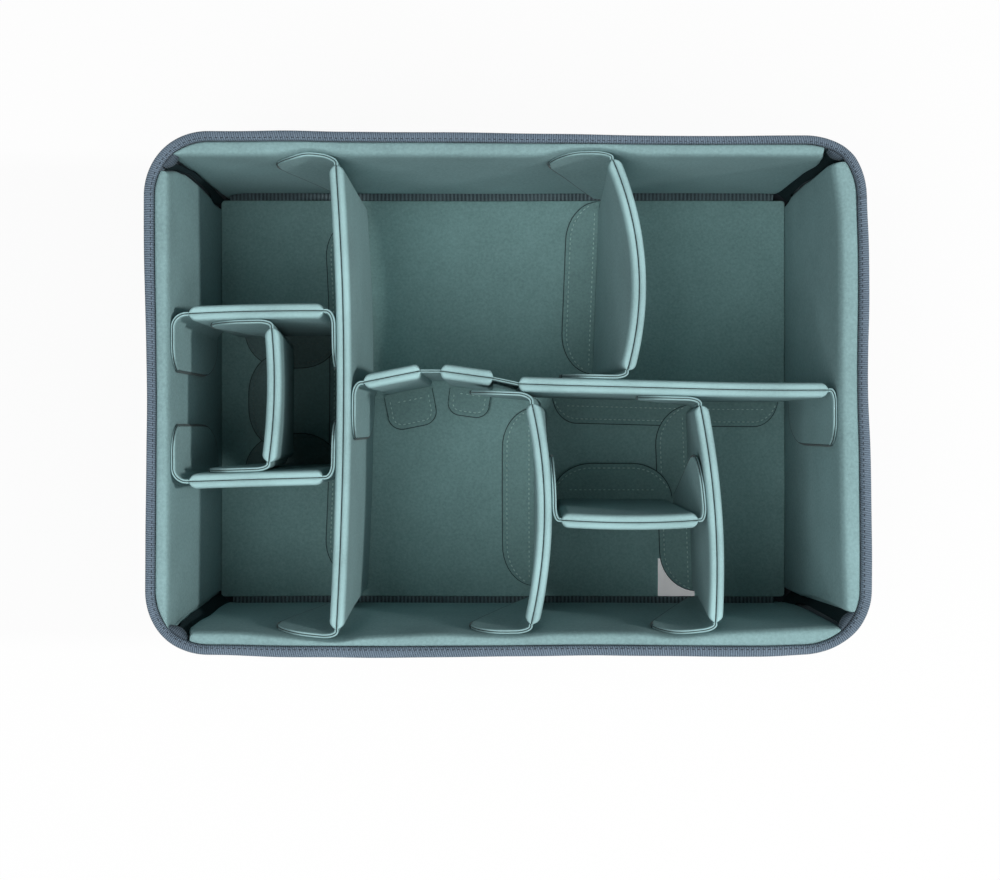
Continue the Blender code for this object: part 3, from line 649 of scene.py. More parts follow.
def add_binding():
    """Grosgrain tape folded over the rim, with a row of stitches down each face."""
    top = insert_height
    under = top - binding_thickness
    middle = lerp(leg_end, top, 0.5)
    crown = 0.0013
    turns = [step / 4 * math.pi / 2 for step in range(5)]
    profile = [(0.0, leg_end), (0.00005, middle), (0.0, top - crown * 1.5)]
    profile += [(crown * 1.1 * (1 - math.cos(turn)), top - crown * (1.5 - 1.35 * math.sin(turn)))
                for turn in turns[1:]]
    profile += [(binding_inner * 0.42, top), (binding_inner * 0.62, top - 0.0001)]
    profile += [(binding_inner - crown * 1.1 * (1 - math.sin(turn)),
                 top - 0.00035 - crown * 1.35 * (1 - math.cos(turn))) for turn in turns]
    profile += [(binding_inner, middle), (binding_inner, leg_end),
                (binding_inner - binding_thickness, leg_end),
                (binding_inner - binding_thickness, under - 0.0008), (binding_inner / 2, under),
                (binding_thickness, under - 0.0008), (binding_thickness, leg_end)]
    rim = sweep_outline("rim_tape", profile, binding_tape, 0.0016,
                        lambda length: 0.55 * wobble(length * 5.0, 1.7, 0.3) + 0.12,
                        lambda length, inset, height: 0.00022 * wobble(length * 30, height * 20, 7.7))
    dress(rim, "rim_binding")
    stitch_round("rim_stitches", "binding", binding_inner - 0.0013, top - 0.00045, 0.003,
                 straight_up, 0.0030, 0.0021, 0.00030)
    stitch_round("rim_side_stitches", "binding", -0.00002, leg_end + 0.0018, 0.003,
                 side_normal, 0.0030, 0.0021, 0.00026)


def outer_line(place, half_run, half_reach, inset=pad_outer):
    """How far out a wall pad's back reaches at a place along it."""
    radius = corner_radius - inset
    past = clamp(abs(place) - (half_run - corner_radius), 0, radius)
    return half_reach - corner_radius + math.sqrt(radius * radius - past * past)


def end_at(table, height):
    """Where a pad ends at a height."""
    return table_at(table, clamp((height - floor_top) / inner_depth)) / 1000


def lean_at(leans, along, height):
    """How far in a wall pad leans at a place along it and a height."""
    return flow_at(leans, along * 1000) / 1000 * clamp((height - floor_top) / inner_depth) ** 2


def on_back(along, out, height):
    return Vector((along, out, height))


def on_front(along, out, height):
    return Vector((along, -out, height))


def on_left(along, out, height):
    return Vector((-out, along, height))


def on_right(along, out, height):
    return Vector((out, along, height))


def add_wall_pad(node, place_point, starts, stops, half_run, half_reach, inner_face, foot_table, leans=None):
    """starts and stops are the tables of the pad's two ends, and leans of its lip."""
    tip = 0.0024
    spacing = 0.0026
    face_rows = 14
    length = end_at(stops, wall_top) - end_at(starts, wall_top)
    steps = int(length / spacing)
    rounded = [(share * tip / length, 0.50 + 0.50 * quarter(share))
               for share in (0.0, 0.05, 0.12, 0.22, 0.36, 0.54, 0.76, 1.0)]
    stations = rounded + [(lerp(tip / length, 1 - tip / length, step / steps), 1.0)
                          for step in range(1, steps)]
    stations += [(1 - share, left) for share, left in reversed(rounded)]
    low = floor_top + foot_table[-1][1] * inner_depth
    high = wall_top - pad_lip_height
    section = [(1.0, floor_under), (foot_table[0][0], floor_under)]
    section += [(part, floor_top + rise * inner_depth) for part, rise in smooth_table(foot_table, 4)]
    section += [(0.0, lerp(low, high, row / face_rows)) for row in range(1, face_rows)]
    lip = smooth_table(pad_lip, 3)
    back = leg_end - seat_gap
    rings = []
    for share, left in stations:
        def column(height):
            along = lerp(end_at(starts, height), end_at(stops, height), share)
            outer = outer_line(along, half_run, half_reach)
            lean = lean_at(leans, along, height) if leans else 0.0
            return along, outer, lerp(outer, inner_face - lean, left)

        ring = []
        for part, height in section:
            along, outer, inner = column(height)
            ring.append(place_point(along, lerp(inner, outer, part), height))
        for part, drop in lip:
            height = wall_top - drop * pad_lip_height
            along, outer, inner = column(height)
            rim_face = outer_line(along, half_run, half_reach, pad_rim)
            inner = min(inner, rim_face - 0.0002)
            ring.append(place_point(along, lerp(inner, rim_face, part), height - 2 * end_dip * (1 - left)))
        along, outer, inner = column(back)
        ring.append(place_point(along, outer_line(along, half_run, half_reach, pad_rim), back))
        ring.append(place_point(along, outer, back - pad_rim + pad_outer))
        rings.append(ring)
    dress(skin(node + "_soft", rings, lining, 55), node)


def add_walls():
    ends = (half_length, half_width, inner_back, end_pad_foot)
    add_wall_pad("back_wall_pad", on_back, back_starts, back_stops, *ends, back_leans)
    add_wall_pad("front_wall_pad", on_front, front_starts, front_stops, *ends, front_leans)
    add_wall_pad("left_wall_pad", on_left, left_starts, left_stops, half_width, half_length,
                 -inner_left, side_pad_foot)
    add_wall_pad("right_wall_pad", on_right, right_starts, right_stops, half_width, half_length,
                 inner_right, side_pad_foot, right_leans)


def add_floor_pad():
    low = (inner_left + seat_gap / 2, inner_front + floor_inset)
    high = (inner_right - seat_gap / 2, inner_back - floor_inset)
    radius = 0.0024
    edge = 0.0005

    def spread(axis, count):
        """Places from one edge to the other, closer together near them."""
        near = [0.0, 0.0012, 0.003, 0.006]
        shares = near + [lerp(near[-1], 1 - near[-1], step / count) for step in range(1, count)]
        return [lerp(low[axis], high[axis], share) for share in shares + [1 - k for k in reversed(near)]]

    xs = spread(0, 122)
    verts = []
    for row_y in spread(1, 86):
        for x in xs:
            y = row_y
            middle_x = clamp(x, low[0] + radius, high[0] - radius)
            middle_y = clamp(y, low[1] + radius, high[1] - radius)
            dx, dy = x - middle_x, y - middle_y
            if min(abs(dx), abs(dy)) > 1e-9:
                drawn_in = max(abs(dx), abs(dy)) / math.hypot(dx, dy)
                x, y = middle_x + dx * drawn_in, middle_y + dy * drawn_in
            near = min(x - low[0], high[0] - x, y - low[1], high[1] - y)
            ripple = wobble(x * 28, y * 28, 3.3) * 0.00022 * clamp(near / 0.012)
            drop = edge * 0.55 * (1 - quarter(near / edge)) + 0.00005
            verts.append(Vector((x, y, floor_top - drop + ripple)))
    wide = len(xs)
    size = len(verts)
    faces = [(row + i, row + i + 1, row + wide + i + 1, row + wide + i)
             for row in range(0, size - wide, wide) for i in range(wide - 1)]
    border = [*range(wide), *range(2 * wide - 1, size, wide), *range(size - 2, size - wide - 1, -1),
              *range(size - 2 * wide, 0, -wide)]
    count = len(border)
    verts += [raised(verts[corner], floor_under) for corner in border]
    for index in range(count):
        after = (index + 1) % count
        faces.append((border[index], size + index, size + after, border[after]))
    faces.append(tuple(range(size + count - 1, size - 1, -1)))
    dress(make_mesh("floor_cushion", verts, faces, floor_lining), "floor_pad")


def add_floor_tape(node, place_point, start, end):
    inner_edge = inner_back - floor_inset + seat_gap
    section = ((0.0, -0.0014), (0.0, -0.0003), (0.06, 0.0), (0.3, 0.0002), (0.6, 0.00035),
               (0.9, 0.00045), (1.0, 0.0002), (1.0, -0.0014))
    steps = 150
    rings = []
    for step in range(steps + 1):
        along = lerp(start, end, step / steps)
        wall_foot = lerp(inner_back, outer_line(along, half_length, half_width), end_pad_foot[0][0])
        wave = 0.00018 * wobble(along * 90, 0.2, inner_edge)
        rings.append([place_point(along, lerp(inner_edge, wall_foot - 2 * seat_gap, share),
                                  floor_top + rise + (wave if rise > -0.001 else 0))
                      for share, rise in section])
    dress(skin(node + "_ribbed", rings, floor_tape, 60), node)


def add_corner_tape(node, side_x, side_y, pad_x, pad_y, top_drop):
    """Dark binding down one inside corner. pad_x and pad_y are the tables of the two pads' ends there."""
    outer = corner_radius - pad_rim
    thickness = 0.0010
    inner = outer - thickness
    past_end = 0.0006
    centre_x = half_length - corner_radius
    centre_y = half_width - corner_radius
    rows = 36
    steps = 10
    rings = []
    for row in range(rows + 1):
        height = lerp(floor_top + seat_gap, insert_height - top_drop, row / rows)
        last = math.acos(clamp((abs(end_at(pad_x, height)) + past_end - centre_x) / inner))
        first = math.asin(clamp((abs(end_at(pad_y, height)) + past_end - centre_y) / inner))
        front = []
        back = []
        for step in range(steps + 1):
            turn = lerp(first, last, step / steps)
            swell = 0.4 * thickness * math.sin(math.pi * step / steps)
            for line, radius in ((front, inner - swell), (back, outer)):
                line.append(Vector((side_x * (centre_x + radius * math.cos(turn)),
                                    side_y * (centre_y + radius * math.sin(turn)), height)))
        rings.append(front + back[::-1])
    dress(skin(node + "_ribbed", rings, corner_tape, 60), node)


def add_rim_fold(corner, side_x, side_y, turns, reach):
    """The rim tape's fold across a corner, between the ends of two wall pads. turns are in degrees."""
    middle = Vector((side_x * (half_length - corner_radius), side_y * (half_width - corner_radius)))
    outer = corner_radius - binding_inner - 0.0002
    low = insert_height - 0.0034
    thickness = 0.0009
    section = ((0.0, 0.0006), (0.20, 0.0009), (0.45, 0.0007), (0.70, 0.0), (0.90, -0.0012), (1.0, -0.0024))
    steps = 16
    rings = []
    for step in range(steps + 1):
        turn = math.radians(lerp(*turns, step / steps))
        out = Vector((math.cos(turn), math.sin(turn)))
        wide = reach * (0.25 + 0.75 * math.sin(math.pi * lerp(0.06, 0.94, step / steps)))
        upper = [raised(middle + out * (outer - part * wide), low + rise) for part, rise in section]
        rings.append(upper + [raised(point, point.z - thickness) for point in reversed(upper)])
    trim(skin(corner + "_rim_fold", rings, fold_tape), "box")


def add_tapes():
    add_rim_fold("back_right", 1, 1, (44, 63), 0.0034)
    add_rim_fold("back_left", -1, 1, (126, 147), 0.0040)
    add_rim_fold("front_left", -1, -1, (222, 246), 0.0042)
    add_rim_fold("front_right", 1, -1, (312, 337), 0.0038)
    add_floor_tape("back_floor_tape", on_back, -0.1800, 0.1755)
    add_floor_tape("front_floor_tape", on_front, -0.1780, 0.1760)
    add_corner_tape("back_left_corner_tape", -1, 1, back_starts, left_stops, 0.0095)
    add_corner_tape("back_right_corner_tape", 1, 1, back_stops, right_stops, 0.0040)
    add_corner_tape("front_left_corner_tape", -1, -1, front_starts, left_starts, 0.0095)
    add_corner_tape("front_right_corner_tape", 1, -1, front_stops, right_starts, 0.0050)


def both_faces(section, place):
    """A closed ring: up one face of an upright section, and down the other."""
    return ([place(share, height) for share, height in section]
            + [place(-share, height) for share, height in reversed(section) if share > 0])


def crowned(low, top, rows):
    """The upright section of a tab or web, rounded at its foot and top."""
    scale = clamp((top - low) / 0.0030)
    edge = [(share, drop * scale) for share, drop in tab_crown]
    face = [(1.0, lerp(low + edge[0][1], top - edge[0][1], row / rows)) for row in range(1, rows)]
    return ([(share, low + drop) for share, drop in reversed(edge)] + face
            + [(share, top - drop) for share, drop in edge])


class Divider:
    """The same centre line, faces and folds as one of the part's dividers. start_face and end_face
    tell where the faces that its ends meet lie, at a place across and a height."""

    def __init__(self, name, runs, side, layer, foot, top, start_face, end_face,
                 bow=0.0, foot_bow=0.0, folds=(tight_fold, tight_fold), long_tabs=True, standing=None):
        self.name = name
        self.runs = runs
        self.side = side
        self.foot = foot
        self.top = top
        self.bow = bow
        self.foot_bow = foot_bow
        self.faces = (start_face, end_face)
        self.folds = folds
        self.long_tabs = long_tabs
        self.reach = long_tab_reach if long_tabs else short_tab_reach
        self.tab_low = floor_top + (long_tab_floor_gap if long_tabs else short_tab_floor_gap)
        self.flap_low = floor_top + seat_gap + layer * flap_step
        standing = layer if standing is None else standing
        self.foot_height = floor_top + seat_gap + (standing + 1) * flap_step

    def level(self, height):
        return (height - floor_top) / (divider_top - floor_top)

    def end_across(self, end, height):
        return lerp(self.foot[end], self.top[end], self.level(height))

    def face_along(self, end, height):
        return self.faces[end](self.end_across(end, height), height)

    def inward(self, end, height):
        return math.copysign(1, self.face_along(1 - end, height) - self.face_along(end, height))

    def line(self, along, height):
        """How far across the centre line lies, and its slope there."""
        start, end = self.face_along(0, height), self.face_along(1, height)
        share = (along - start) / (end - start)
        first, last = self.end_across(0, height), self.end_across(1, height)
        bow = lerp(self.foot_bow, self.bow, self.level(height))
        return (lerp(first, last, share) + bow * (1 - (2 * share - 1) ** 2),
                (last - first + 4 * bow * (1 - 2 * share)) / (end - start))

    def face(self, along, height, side):
        across, slope = self.line(along, height)
        return across + side * divider_half * math.hypot(1, slope)

    def turn(self, along, across):
        return Vector((along, across)) if self.runs == "x" else Vector((across, along))

    def square_at(self, along, height):
        return self.turn(-self.line(along, height)[1], 1).normalized()

    def point(self, along, height, out=0.0):
        spot = self.turn(along, self.line(along, height)[0]) + out * self.square_at(along, height)
        return raised(spot, height)

    def pad_end(self, end, height):
        room = self.folds[end] + 2 * root_room if self.folds[end] else 0
        return self.face_along(end, height) + self.inward(end, height) * room

    def along_pad(self, share, height):
        return lerp(self.pad_end(0, height), self.pad_end(1, height), share)

    def stations(self, length):
        """(distance share, thickness share) down the pad, with rounded ends."""
        runs = [0.0040 if fold else 0.0026 for fold in self.folds]
        least = [0.27 if fold else 0.30 for fold in self.folds]
        near, far = ([(share * runs[end] / length, max(least[end], quarter(share)))
                      for share in (0.0, 0.03, 0.08, 0.15, 0.25, 0.38, 0.55, 0.76, 1.0)] for end in (0, 1))
        steps = max(int((length - sum(runs)) / pad_station_pitch), 4)
        middle = [(lerp(near[-1][0], 1 - far[-1][0], step / steps), 1.0) for step in range(1, steps)]
        return near + middle + [(1 - share, left) for share, left in reversed(far)]

    def add_pad(self):
        node = self.name + "_pad"
        rows = 14
        low = self.foot_height
        crown_low = divider_top - pad_crown[0][1]
        section = [(share, low + rise) for share, rise in pad_foot]
        section += [(1.0, lerp(section[-1][1], crown_low, row / rows)) for row in range(1, rows)]
        section += [(share, divider_top - drop) for share, drop in pad_crown]
        length = abs(self.pad_end(1, divider_top) - self.pad_end(0, divider_top))
        rings = []
        line = []
        sides = []
        for share, left in self.stations(length):
            def place(part, height):
                spot = self.point(self.along_pad(share, height), height, part * left * divider_half)
                if height >= crown_low:
                    pucker = 0.5 + 0.5 * math.cos(2 * math.pi * share * length / pucker_pitch)
                    spot.z -= pucker_depth * clamp(1 - abs(part) / 0.75) * pucker + end_dip * (1 - left)
                return spot

            rings.append(both_faces(section, place))
            along = self.along_pad(share, divider_top)
            line.append(raised(self.point(along, divider_top), divider_top - 0.00052 - 0.0009 * (1 - left)))
            sides.append(self.square_at(along, divider_top).to_3d())
        dress(skin(node + "_soft", rings, divider_lining, 60), node)
        trim(seam_line(node + "_seam", line, sides, 0.00025, 0.00040, seam_thread), body_of[node])

    def tab_path(self, end, height):
        """Centre points of a tab at a height, from the pad to the free end."""
        inward = self.inward(end, height)
        face = self.face_along(end, height)
        hinge = self.point(face + inward * (self.folds[end] + root_room), height).xy
        outward = self.turn(-inward, 0)
        sideways = self.turn(0, self.side)
        points = [hinge - outward * back for back in (root_room - 0.00012, root_room * 0.5, 0.0)]
        start = hinge.dot(self.turn(0, 1))
        further = inward * (face - self.faces[end](start + self.side * tab_fold_run, height))
        for step in range(1, tab_bend_steps + 1):
            bend = step / tab_bend_steps * math.pi / 2
            reach = self.folds[end] * math.sin(bend) + further * (1 - math.cos(bend))
            points.append(hinge + outward * reach + sideways * tab_fold_run * (1 - math.cos(bend)))
        for share in lobe_stations:
            across = start + self.side * lerp(tab_fold_run, self.reach, share)
            points.append(self.turn(self.faces[end](across, height) + inward * root_room, across))
        return points

    def tab_spot(self, end, index, height):
        """A tab's centre at one of its stations and a height, and the direction across it."""
        path = self.tab_path(end, height)
        run = (path[min(index + 1, len(path) - 1)] - path[max(index - 1, 0)]).normalized()
        return raised(path[index], height), Vector((-run.y, run.x, 0))

    def tab_shape(self):
        """Lowest and highest point and thickness share at each station along a tab."""
        top = divider_top - tab_top_drop
        low = self.tab_low
        found = [(low, top, 0.90)] + [(low, top, 1.0)] * (tab_bend_steps + 2)
        bend = 0.0200 if self.long_tabs else 0.0150
        nose = 0.0060
        for share in lobe_stations:
            rest = (self.reach - tab_fold_run) * (1 - share)
            high = top - bend * (1 - quarter(rest / bend))
            if self.long_tabs:
                under = lerp(low, top - bend - nose, share) + nose * (1 - quarter(rest / nose))
                under = min(under, high - 0.0001)
            else:
                under = lerp(low, top - 0.0780, 1 - quarter((1 - share) / 0.85))
            found.append((under, high, max(quarter(rest / 0.0013), 0.05)))
        return found

    def add_tab(self, end, side=""):
        node = self.name + side + "_tab"
        shape = self.tab_shape()
        rings = []
        rim_top = []
        rim_low = []
        for index, (low, top, left) in enumerate(shape):
            def place(share, height):
                spot, square = self.tab_spot(end, index, height)
                return spot + square * share * left * tab_half

            rings.append(both_faces(crowned(low, top, 16), place))
            rim_top.append(self.tab_spot(end, index, top - rim_cord_drop))
            rim_low.append(self.tab_spot(end, index, low + rim_cord_drop))
        free_edge = []
        if top - low > 0.004:
            for row in range(1, 12):
                height = lerp(top - rim_cord_drop, low + rim_cord_drop, row / 12)
                free_edge.append((raised(self.tab_path(end, height)[-1], height), rim_top[-1][1]))
        tab = skin(node + "_soft", rings, divider_lining, 60)
        # A slanting bend line is worked out, so that a free end which leans back isn't held in it, but
        # nothing bends the tab along it.
        start = self.point(self.pad_end(end, tab_bend_height), tab_bend_height)
        outward = -self.inward(end, tab_bend_height)
        slant = self.turn(outward, tab_bend_slant * self.side).to_3d().normalized()
        stop = start + slant * (root_room + tab_bend_share * self.folds[end])
        bend = (body_of[self.name + "_pad"], tuple(start), tuple(stop))
        dress(tab, node, bend)
        trim(seam_line(node + "_seam", *zip(*rim_top), 0.00026, 0.00040, seam_thread),
             body_of[node], bend)
        # The dark cord round the tab's low and free edges is painted shadow for the gap beside the tab.
        edge = rim_top[-3:] + free_edge + rim_low[::-1]
        trim(seam_line(node + "_edge", *zip(*edge), 0.00128, 0.00090, painted_shadow_cord),
             body_of[node], bend)

    def flap_stations(self, start, end, rounding):
        """(place along the flap, how far round its end) from one end to the other."""
        way = math.copysign(rounding, end - start)
        shares = (0.004, 0.02, 0.05, 0.09, 0.15, 0.22, 0.31, 0.42, 0.55, 0.70, 0.85, 1.0)
        places = [(start + way * share, share) for share in shares]
        if abs(end - start) >= 2.05 * rounding:
            places += [(lerp(start + way, end - way, step / 14), 1.0) for step in range(1, 14)]
        return places + [(end - way * share, share) for share in reversed(shares)]

    def add_flap(self, hinged, inner_row, width=flap_width, rounding=flap_round,
                 end_gaps=(flap_end_gap, flap_end_gap), tongue=False, dim=False):
        """inner_row tells where the inner stitches run: two shares of the length, and how far out."""
        node = self.name + "_flap"
        low = self.flap_low
        top = low + flap_thickness
        thread_height = top - thread_drop
        cord_height = low + flap_thickness * 0.62
        edge_round = 0.0007
        start, end = (self.pad_end(k, low) + self.inward(k, low) * end_gaps[k] for k in (0, 1))
        rounding = min(rounding, abs(end - start) / 2)
        inner = divider_half - 0.0003 if hinged else 0.0005
        outer = divider_half + width
        shoulder = outer - rounding if tongue else inner

        def spot(along, out, height):
            return raised(self.point(along, floor_top, self.side * out), height)

        rings = []
        outer_row = []
        edge_line = []
        cloth_area = 0.0
        stations = self.flap_stations(start, end, rounding)
        before = stations[0][0]
        for along, share in stations:
            edge = max(lerp(shoulder, outer, quarter(share)), inner + flap_thickness)
            reach = edge - inner
            spans = (0.0, 0.00012, 0.00045, 0.0011, 0.0019, 0.0025, 0.0030, 0.0035, 0.0041, 0.0055)
            insets = [inset for inset in spans if inset < reach * 0.8]
            while len(insets) < len(spans):
                insets.append(lerp(insets[-1], reach * 0.9, 0.3))
            insets += [lerp(insets[-1], reach, part) for part in (0.33, 0.66, 1.0)]
            upper = []
            lower = []
            for inset in insets:
                rim = 1 - quarter(inset / edge_round)
                groove = math.exp(-((inset - flap_seam_inset) / 0.0006) ** 2) if reach > 0.006 else 0.0
                upper.append(spot(along, edge - inset, top - edge_round * rim - 0.00030 * groove))
                lower.append(spot(along, edge - inset, low + 0.0003 * rim))
            rings.append(lower[::-1] + upper)
            edge_line.append(spot(along, edge, cord_height))
            if reach > 0.0075 and not tongue:
                outer_row.append(spot(along, edge - flap_seam_inset, thread_height))
            cloth_area += abs(along - before) * reach
            before = along
        # dim flaps get the darker cloth and thread: painted shade for the deep small box.
        flap = skin(node + "_cloth", rings, painted_shade_flap_lining if dim else flap_lining, 60)
        if tongue:
            way = math.copysign(1, end - start)
            sweep = rounding - flap_seam_inset
            bend = [(flap_seam_inset, inner + 0.0045)]
            for step in range(9):
                turn = step / 8 * math.pi / 2
                bend.append((rounding - sweep * math.cos(turn), outer - rounding + sweep * math.sin(turn)))
            outer_row = [spot(start + way * run, out, thread_height) for run, out in bend]
            outer_row += [spot(end - way * run, out, thread_height) for run, out in reversed(bend)]
            root = inner + 0.0015
            edge_line = [spot(start, root, cord_height), *edge_line, spot(end, root, cord_height)]
        first, last, out = inner_row
        row = [spot(lerp(start, end, lerp(first, last, step / 8)), inner + out, thread_height)
               for step in range(9)]
        thread = painted_shade_thread if dim else pale_thread
        stitches = trim(stitch_row(node + "_stitches", [outer_row, row], thread), body_of[node])
        # The dark cord round the flap's edge is painted shadow for the gap under it.
        sides = [Vector((-run.y, run.x, 0)) for run in runs_of(edge_line)]
        edge = trim(seam_line(node + "_edge", edge_line, sides, 0.00040, 0.00045, painted_shadow_cord),
                    body_of[node])
        dress(flap, node)
        flat = (abs(end - start), outer - inner)
        area = clamp(cloth_area * 1.04, 0.35 * flat[0] * flat[1], flat[0] * flat[1])


def wall(face):
    return lambda across, height: face


def leaning_wall(face, leans):
    return lambda across, height: face - math.copysign(1, face) * lean_at(leans, across, height)


def side_of(divider, side):
    return lambda across, height: divider.face(across, height, side)


def top_side_of(divider, side):
    return lambda across, height: divider.face(across, divider_top, side)


def in_length(*shares):
    return [lerp(inner_left, inner_right, share) for share in shares]


def in_width(*shares):
    return [lerp(inner_front, inner_back, share) for share in shares]


back_face = leaning_wall(inner_back, back_leans)
front_face = leaning_wall(inner_front, front_leans)
left_face = wall(inner_left)
section_faces = [wall(place) for place in in_length(0.3749, 0.4060, 0.4835, 0.5225)]

places = in_length(0.2478, 0.2478)
long_divider = Divider("long_divider", "y", -1, 0, places, places, back_face, front_face,
                       bow=0.0047, foot_bow=0.0047)
places = in_width(0.6664, 0.6741)
box_back = Divider("box_back_divider", "x", -1, 1, places, places, left_face, side_of(long_divider, -1),
                   bow=0.0008, folds=(wide_fold, middle_fold), long_tabs=False)
places = in_width(0.3121, 0.3217)
box_front = Divider("box_front_divider", "x", 1, 1, places, places, left_face,
                    side_of(long_divider, -1), folds=(wide_fold, middle_fold), long_tabs=False)
box_middle = Divider("box_middle_divider", "y", -1, 2, in_length(0.1178, 0.1178),
                     in_length(0.1501, 0.1460), side_of(box_back, -1), side_of(box_front, 1), bow=0.0030)
places = in_width(0.5176, 0.5464)
sectional_left = Divider("sectional_divider_left", "x", -1, 0, places, places,
                         side_of(long_divider, 1), section_faces[0], folds=(middle_fold, None),
                         long_tabs=False, standing=1)
places = in_width(0.5464, 0.5318)
sectional_middle = Divider("sectional_divider_middle", "x", -1, 1, places, places, section_faces[1],
                           section_faces[2], folds=(None, None))
places = in_width(0.5199, 0.5065)
sectional_right = Divider("sectional_divider_right", "x", -1, 0, places, places, section_faces[3],
                          wall(inner_right), bow=-0.0008, foot_bow=-0.0008,
                          folds=(None, tight_fold), long_tabs=False)
back_divider = Divider("back_divider", "y", -1, 0, in_length(0.6809, 0.6677), in_length(0.6566, 0.6809),
                       back_face, side_of(sectional_right, 1), bow=0.0122)
front_left = Divider("front_left_divider", "y", -1, 0, in_length(0.5661, 0.5661),
                     in_length(0.5374, 0.5366), side_of(sectional_right, -1), front_face, bow=0.0087,
                     folds=(middle_fold, tight_fold))
front_right = Divider("front_right_divider", "y", -1, 1, in_length(0.8342, 0.8467),
                      in_length(0.7912, 0.8158), side_of(sectional_right, -1), front_face, bow=0.0045)
places = in_width(0.2320, 0.2320)
cross_divider = Divider("cross_divider", "x", 1, 2, places, places, side_of(front_left, 1),
                        top_side_of(front_right, -1), bow=-0.0018)


def add_web(node, first, second, body):
    """Thin cloth between two pads of the sectional divider. body is the first's."""
    half = 0.00095
    gap = 0.00015
    low = max(first.foot_height, second.foot_height)
    top = divider_top - 0.0012
    start = first.point(first.pad_end(1, low), low)
    length = (second.point(second.pad_end(0, low), low) - start).length
    run = (second.point(second.pad_end(0, low), low) - start).normalized()
    square = Vector((-run.y, run.x, 0))
    steps = 14
    rings = []
    line = []
    for step in range(steps + 1):
        centre = start + run * lerp(gap, length - gap, step / steps)
        rings.append(both_faces(crowned(low, top, 10),
                                lambda share, height: raised(centre, height) + square * share * half))
        line.append(raised(centre, top - rim_cord_drop))
    bend = (body, tuple(start), tuple(start + run * 2 * root_room))
    dress(skin(node + "_cloth", rings, divider_lining, 60), node, bend)
    trim(seam_line(node + "_seam", line, [square] * len(line), 0.00028, 0.00040, seam_thread),
         body_of[node], bend)


def add_dividers():
    for divider in (long_divider, box_back, box_front, box_middle, back_divider, front_left,
                    front_right, cross_divider):
        divider.add_pad()
        for end, side in enumerate(("_back", "_front") if divider.runs == "y" else ("_left", "_right")):
            divider.add_tab(end, side)
    for divider in (sectional_left, sectional_middle, sectional_right):
        divider.add_pad()
    sectional_left.add_tab(0)
    sectional_right.add_tab(1)
    add_web("sectional_divider_left_web", sectional_left, sectional_middle, "sectional_divider_left")
    add_web("sectional_divider_right_web", sectional_middle, sectional_right, "sectional_divider_middle")


def add_flaps():
    long_divider.add_flap(False, (0.10, 0.90, 0.0090))
    # The small box's three flaps are drawn dim: painted shade.
    box_back.add_flap(False, (0.22, 0.78, 0.0085), dim=True)
    box_front.add_flap(False, (0.22, 0.78, 0.0085), dim=True)
    box_middle.add_flap(True, (0.22, 0.78, 0.0055), dim=True)
    back_divider.add_flap(True, (0.06, 0.96, 0.0026), end_gaps=(-flap_past_end, flap_past_end))
    front_left.add_flap(True, (0.06, 0.96, 0.0035), end_gaps=(0, flap_past_end))
    front_right.add_flap(False, (0.06, 0.96, 0.0062), end_gaps=(-flap_past_end, 0))
    cross_divider.add_flap(True, (0.14, 0.86, 0.0062), 0.0230, end_gaps=(-0.0024, -0.0024))
    sectional_left.add_flap(True, (0.22, 0.80, 0.0064), 0.0240, 0.0090, (-0.0010, 0.0012), tongue=True)
    sectional_middle.add_flap(True, (0.22, 0.80, 0.0040), 0.0180, 0.0080, (0.0012, 0.0012), tongue=True)
    sectional_right.add_flap(False, (0.06, 0.94, 0.0085), 0.0160, 0.0160, (0.0240, -0.0005))


def add_label():
    """A plain white care label sewn into the front floor seam, part of it under a flap."""
    low = Vector((0.0998, -0.1290))
    high = Vector((0.1240, -0.1045))
    half = 0.00012
    steps = 16
    rings = []
    for step in range(steps + 1):
        x = lerp(low.x, high.x, step / steps)
        line = []
        for row in range(steps + 1):
            y = lerp(low.y, high.y, row / steps)
            curl = 0.00077 * clamp(1 - step / steps * 2.2) * (1 - abs(2 * row / steps - 0.9))
            crease = 0.000224 * math.sin(x * 1300 + 0.8 * math.sin(y * 600))
            crease += 0.000176 * math.sin(y * 1100 + x * 500)
            line.append(Vector((x, y, floor_top + 0.00075 + curl + crease)))
        rings.append([raised(point, point.z + half) for point in line]
                     + [raised(point, point.z - half) for point in reversed(line)])
    label = skin("care_label", rings, label_cloth)
    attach(label, "box")


def show_pale(tree, lit, pale, output, share):
    """Light meets the lit shader, and the camera sees mostly the pale one."""
    path = tree.nodes.new("ShaderNodeLightPath")
    seen = tree.nodes.new("ShaderNodeMath")
    seen.operation = "MULTIPLY"
    seen.inputs[1].default_value = share
    mix = tree.nodes.new("ShaderNodeMixShader")
    for source, target in ((path.outputs["Is Camera Ray"], seen.inputs[0]),
                           (seen.outputs[0], mix.inputs[0]), (lit.outputs[0], mix.inputs[1]),
                           (pale.outputs[0], mix.inputs[2]),
                           (mix.outputs[0], tree.nodes[output].inputs["Surface"])):
        tree.links.new(source, target)


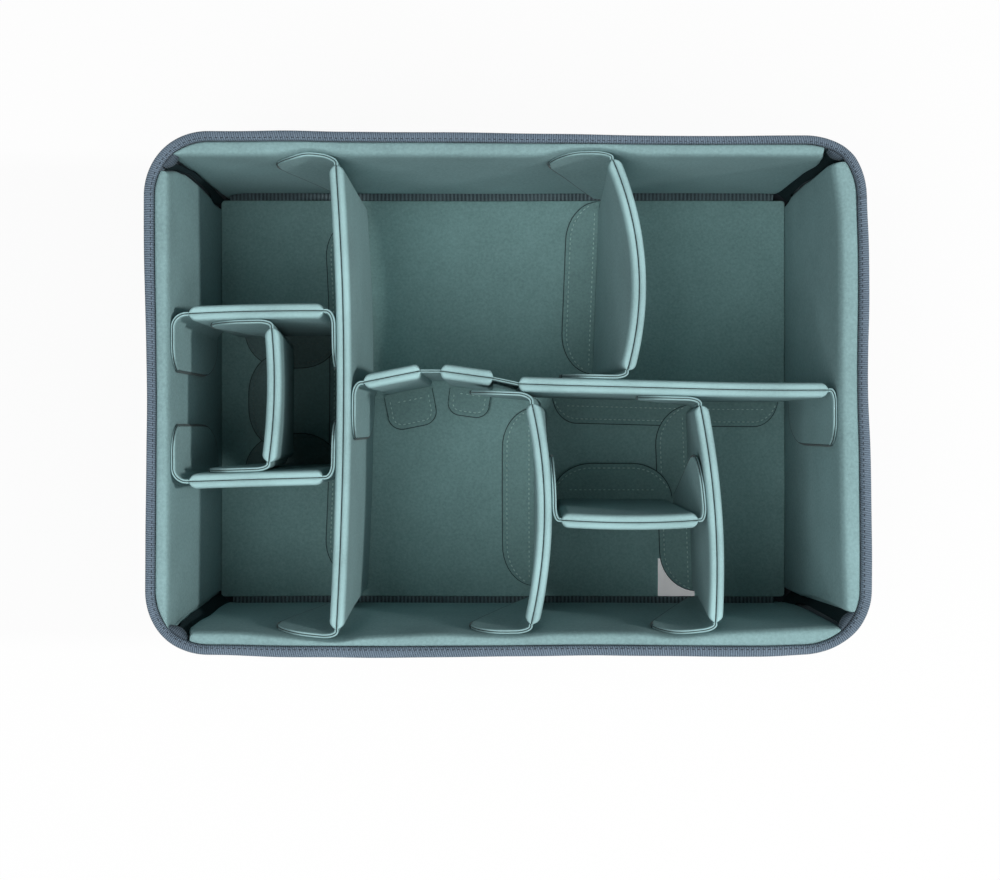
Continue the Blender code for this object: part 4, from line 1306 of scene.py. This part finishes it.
def add_stage():
    material = bpy.data.materials.new("pale_floor")
    material.use_nodes = True
    tree = material.node_tree
    shader = tree.nodes["Principled BSDF"]
    shader.inputs["Base Color"].default_value = (0.86, 0.86, 0.86, 1.0)
    shader.inputs["Roughness"].default_value = 0.9
    shader.inputs["Specular IOR Level"].default_value = 0.1
    glow = tree.nodes.new("ShaderNodeEmission")
    glow.inputs["Color"].default_value = (1.0, 1.0, 1.0, 1.0)
    show_pale(tree, shader, glow, "Material Output", 0.92)
    size = 6.0
    mesh = bpy.data.meshes.new("studio_floor")
    mesh.from_pydata([(-size, -size, 0), (size, -size, 0), (size, size, 0), (-size, size, 0)], [],
                     [(0, 1, 2, 3)])
    mesh.materials.append(material)
    floor = add_object("studio_floor", mesh)
    floor.location.z = -0.0004


def add_area(name, place, target, size, power, colour=(1.0, 1.0, 1.0)):
    light = bpy.data.lights.new(name, "AREA")
    light.shape = "RECTANGLE"
    light.size, light.size_y = size
    light.energy = power
    light.color = colour
    lamp = add_object(name, light)
    lamp.location = place
    lamp.rotation_mode = "QUATERNION"
    lamp.rotation_quaternion = (Vector(place) - Vector(target)).to_track_quat("Z", "Y")


def add_light():
    """Three soft boxes overhead, a small key light at the right, and a dim world."""
    world = bpy.data.worlds.new("studio")
    world.use_nodes = True
    tree = world.node_tree
    dim = tree.nodes["Background"]
    dim.inputs["Color"].default_value = (0.93, 0.97, 1.0, 1.0)
    dim.inputs["Strength"].default_value = 0.15
    pale = tree.nodes.new("ShaderNodeBackground")
    pale.inputs["Color"].default_value = (0.96, 0.96, 0.96, 1.0)
    show_pale(tree, dim, pale, "World Output", 1.0)
    bpy.context.scene.world = world
    add_area("soft_box_left", (-0.69, -0.50, 1.48), (-0.69, -0.50, 0), (0.94, 1.5), 14.6)
    add_area("soft_box_right", (0.69, -0.50, 1.48), (0.69, -0.50, 0), (0.94, 1.5), 6.0)
    add_area("soft_box_front", (0.0, -0.72, 1.48), (0.0, -0.72, 0), (0.44, 1.0), 3.2)
    add_area("key_light", (1.70, 0.0, 1.70), (0, 0, 0.12), (0.13, 0.13), 27.0, (1.0, 0.99, 0.97))


def add_camera():
    """The photograph's own view, from straight above."""
    camera = bpy.data.cameras.new("photo_camera")
    camera.sensor_width = 36.0
    camera.lens = camera.sensor_width * 1.431
    camera.shift_x = 0.002
    camera.shift_y = -0.013
    camera.clip_start = 0.05
    camera.clip_end = 20.0
    holder = add_object("photo_camera", camera)
    holder.location = (-0.0047, -0.0187, 0.9505)
    bpy.context.scene.camera = holder


add_shell()
add_binding()
add_walls()
add_floor_pad()
add_tapes()
add_dividers()
add_flaps()
add_label()
add_stage()
add_light()
add_camera()
bpy.context.scene.view_settings.view_transform = "Standard"
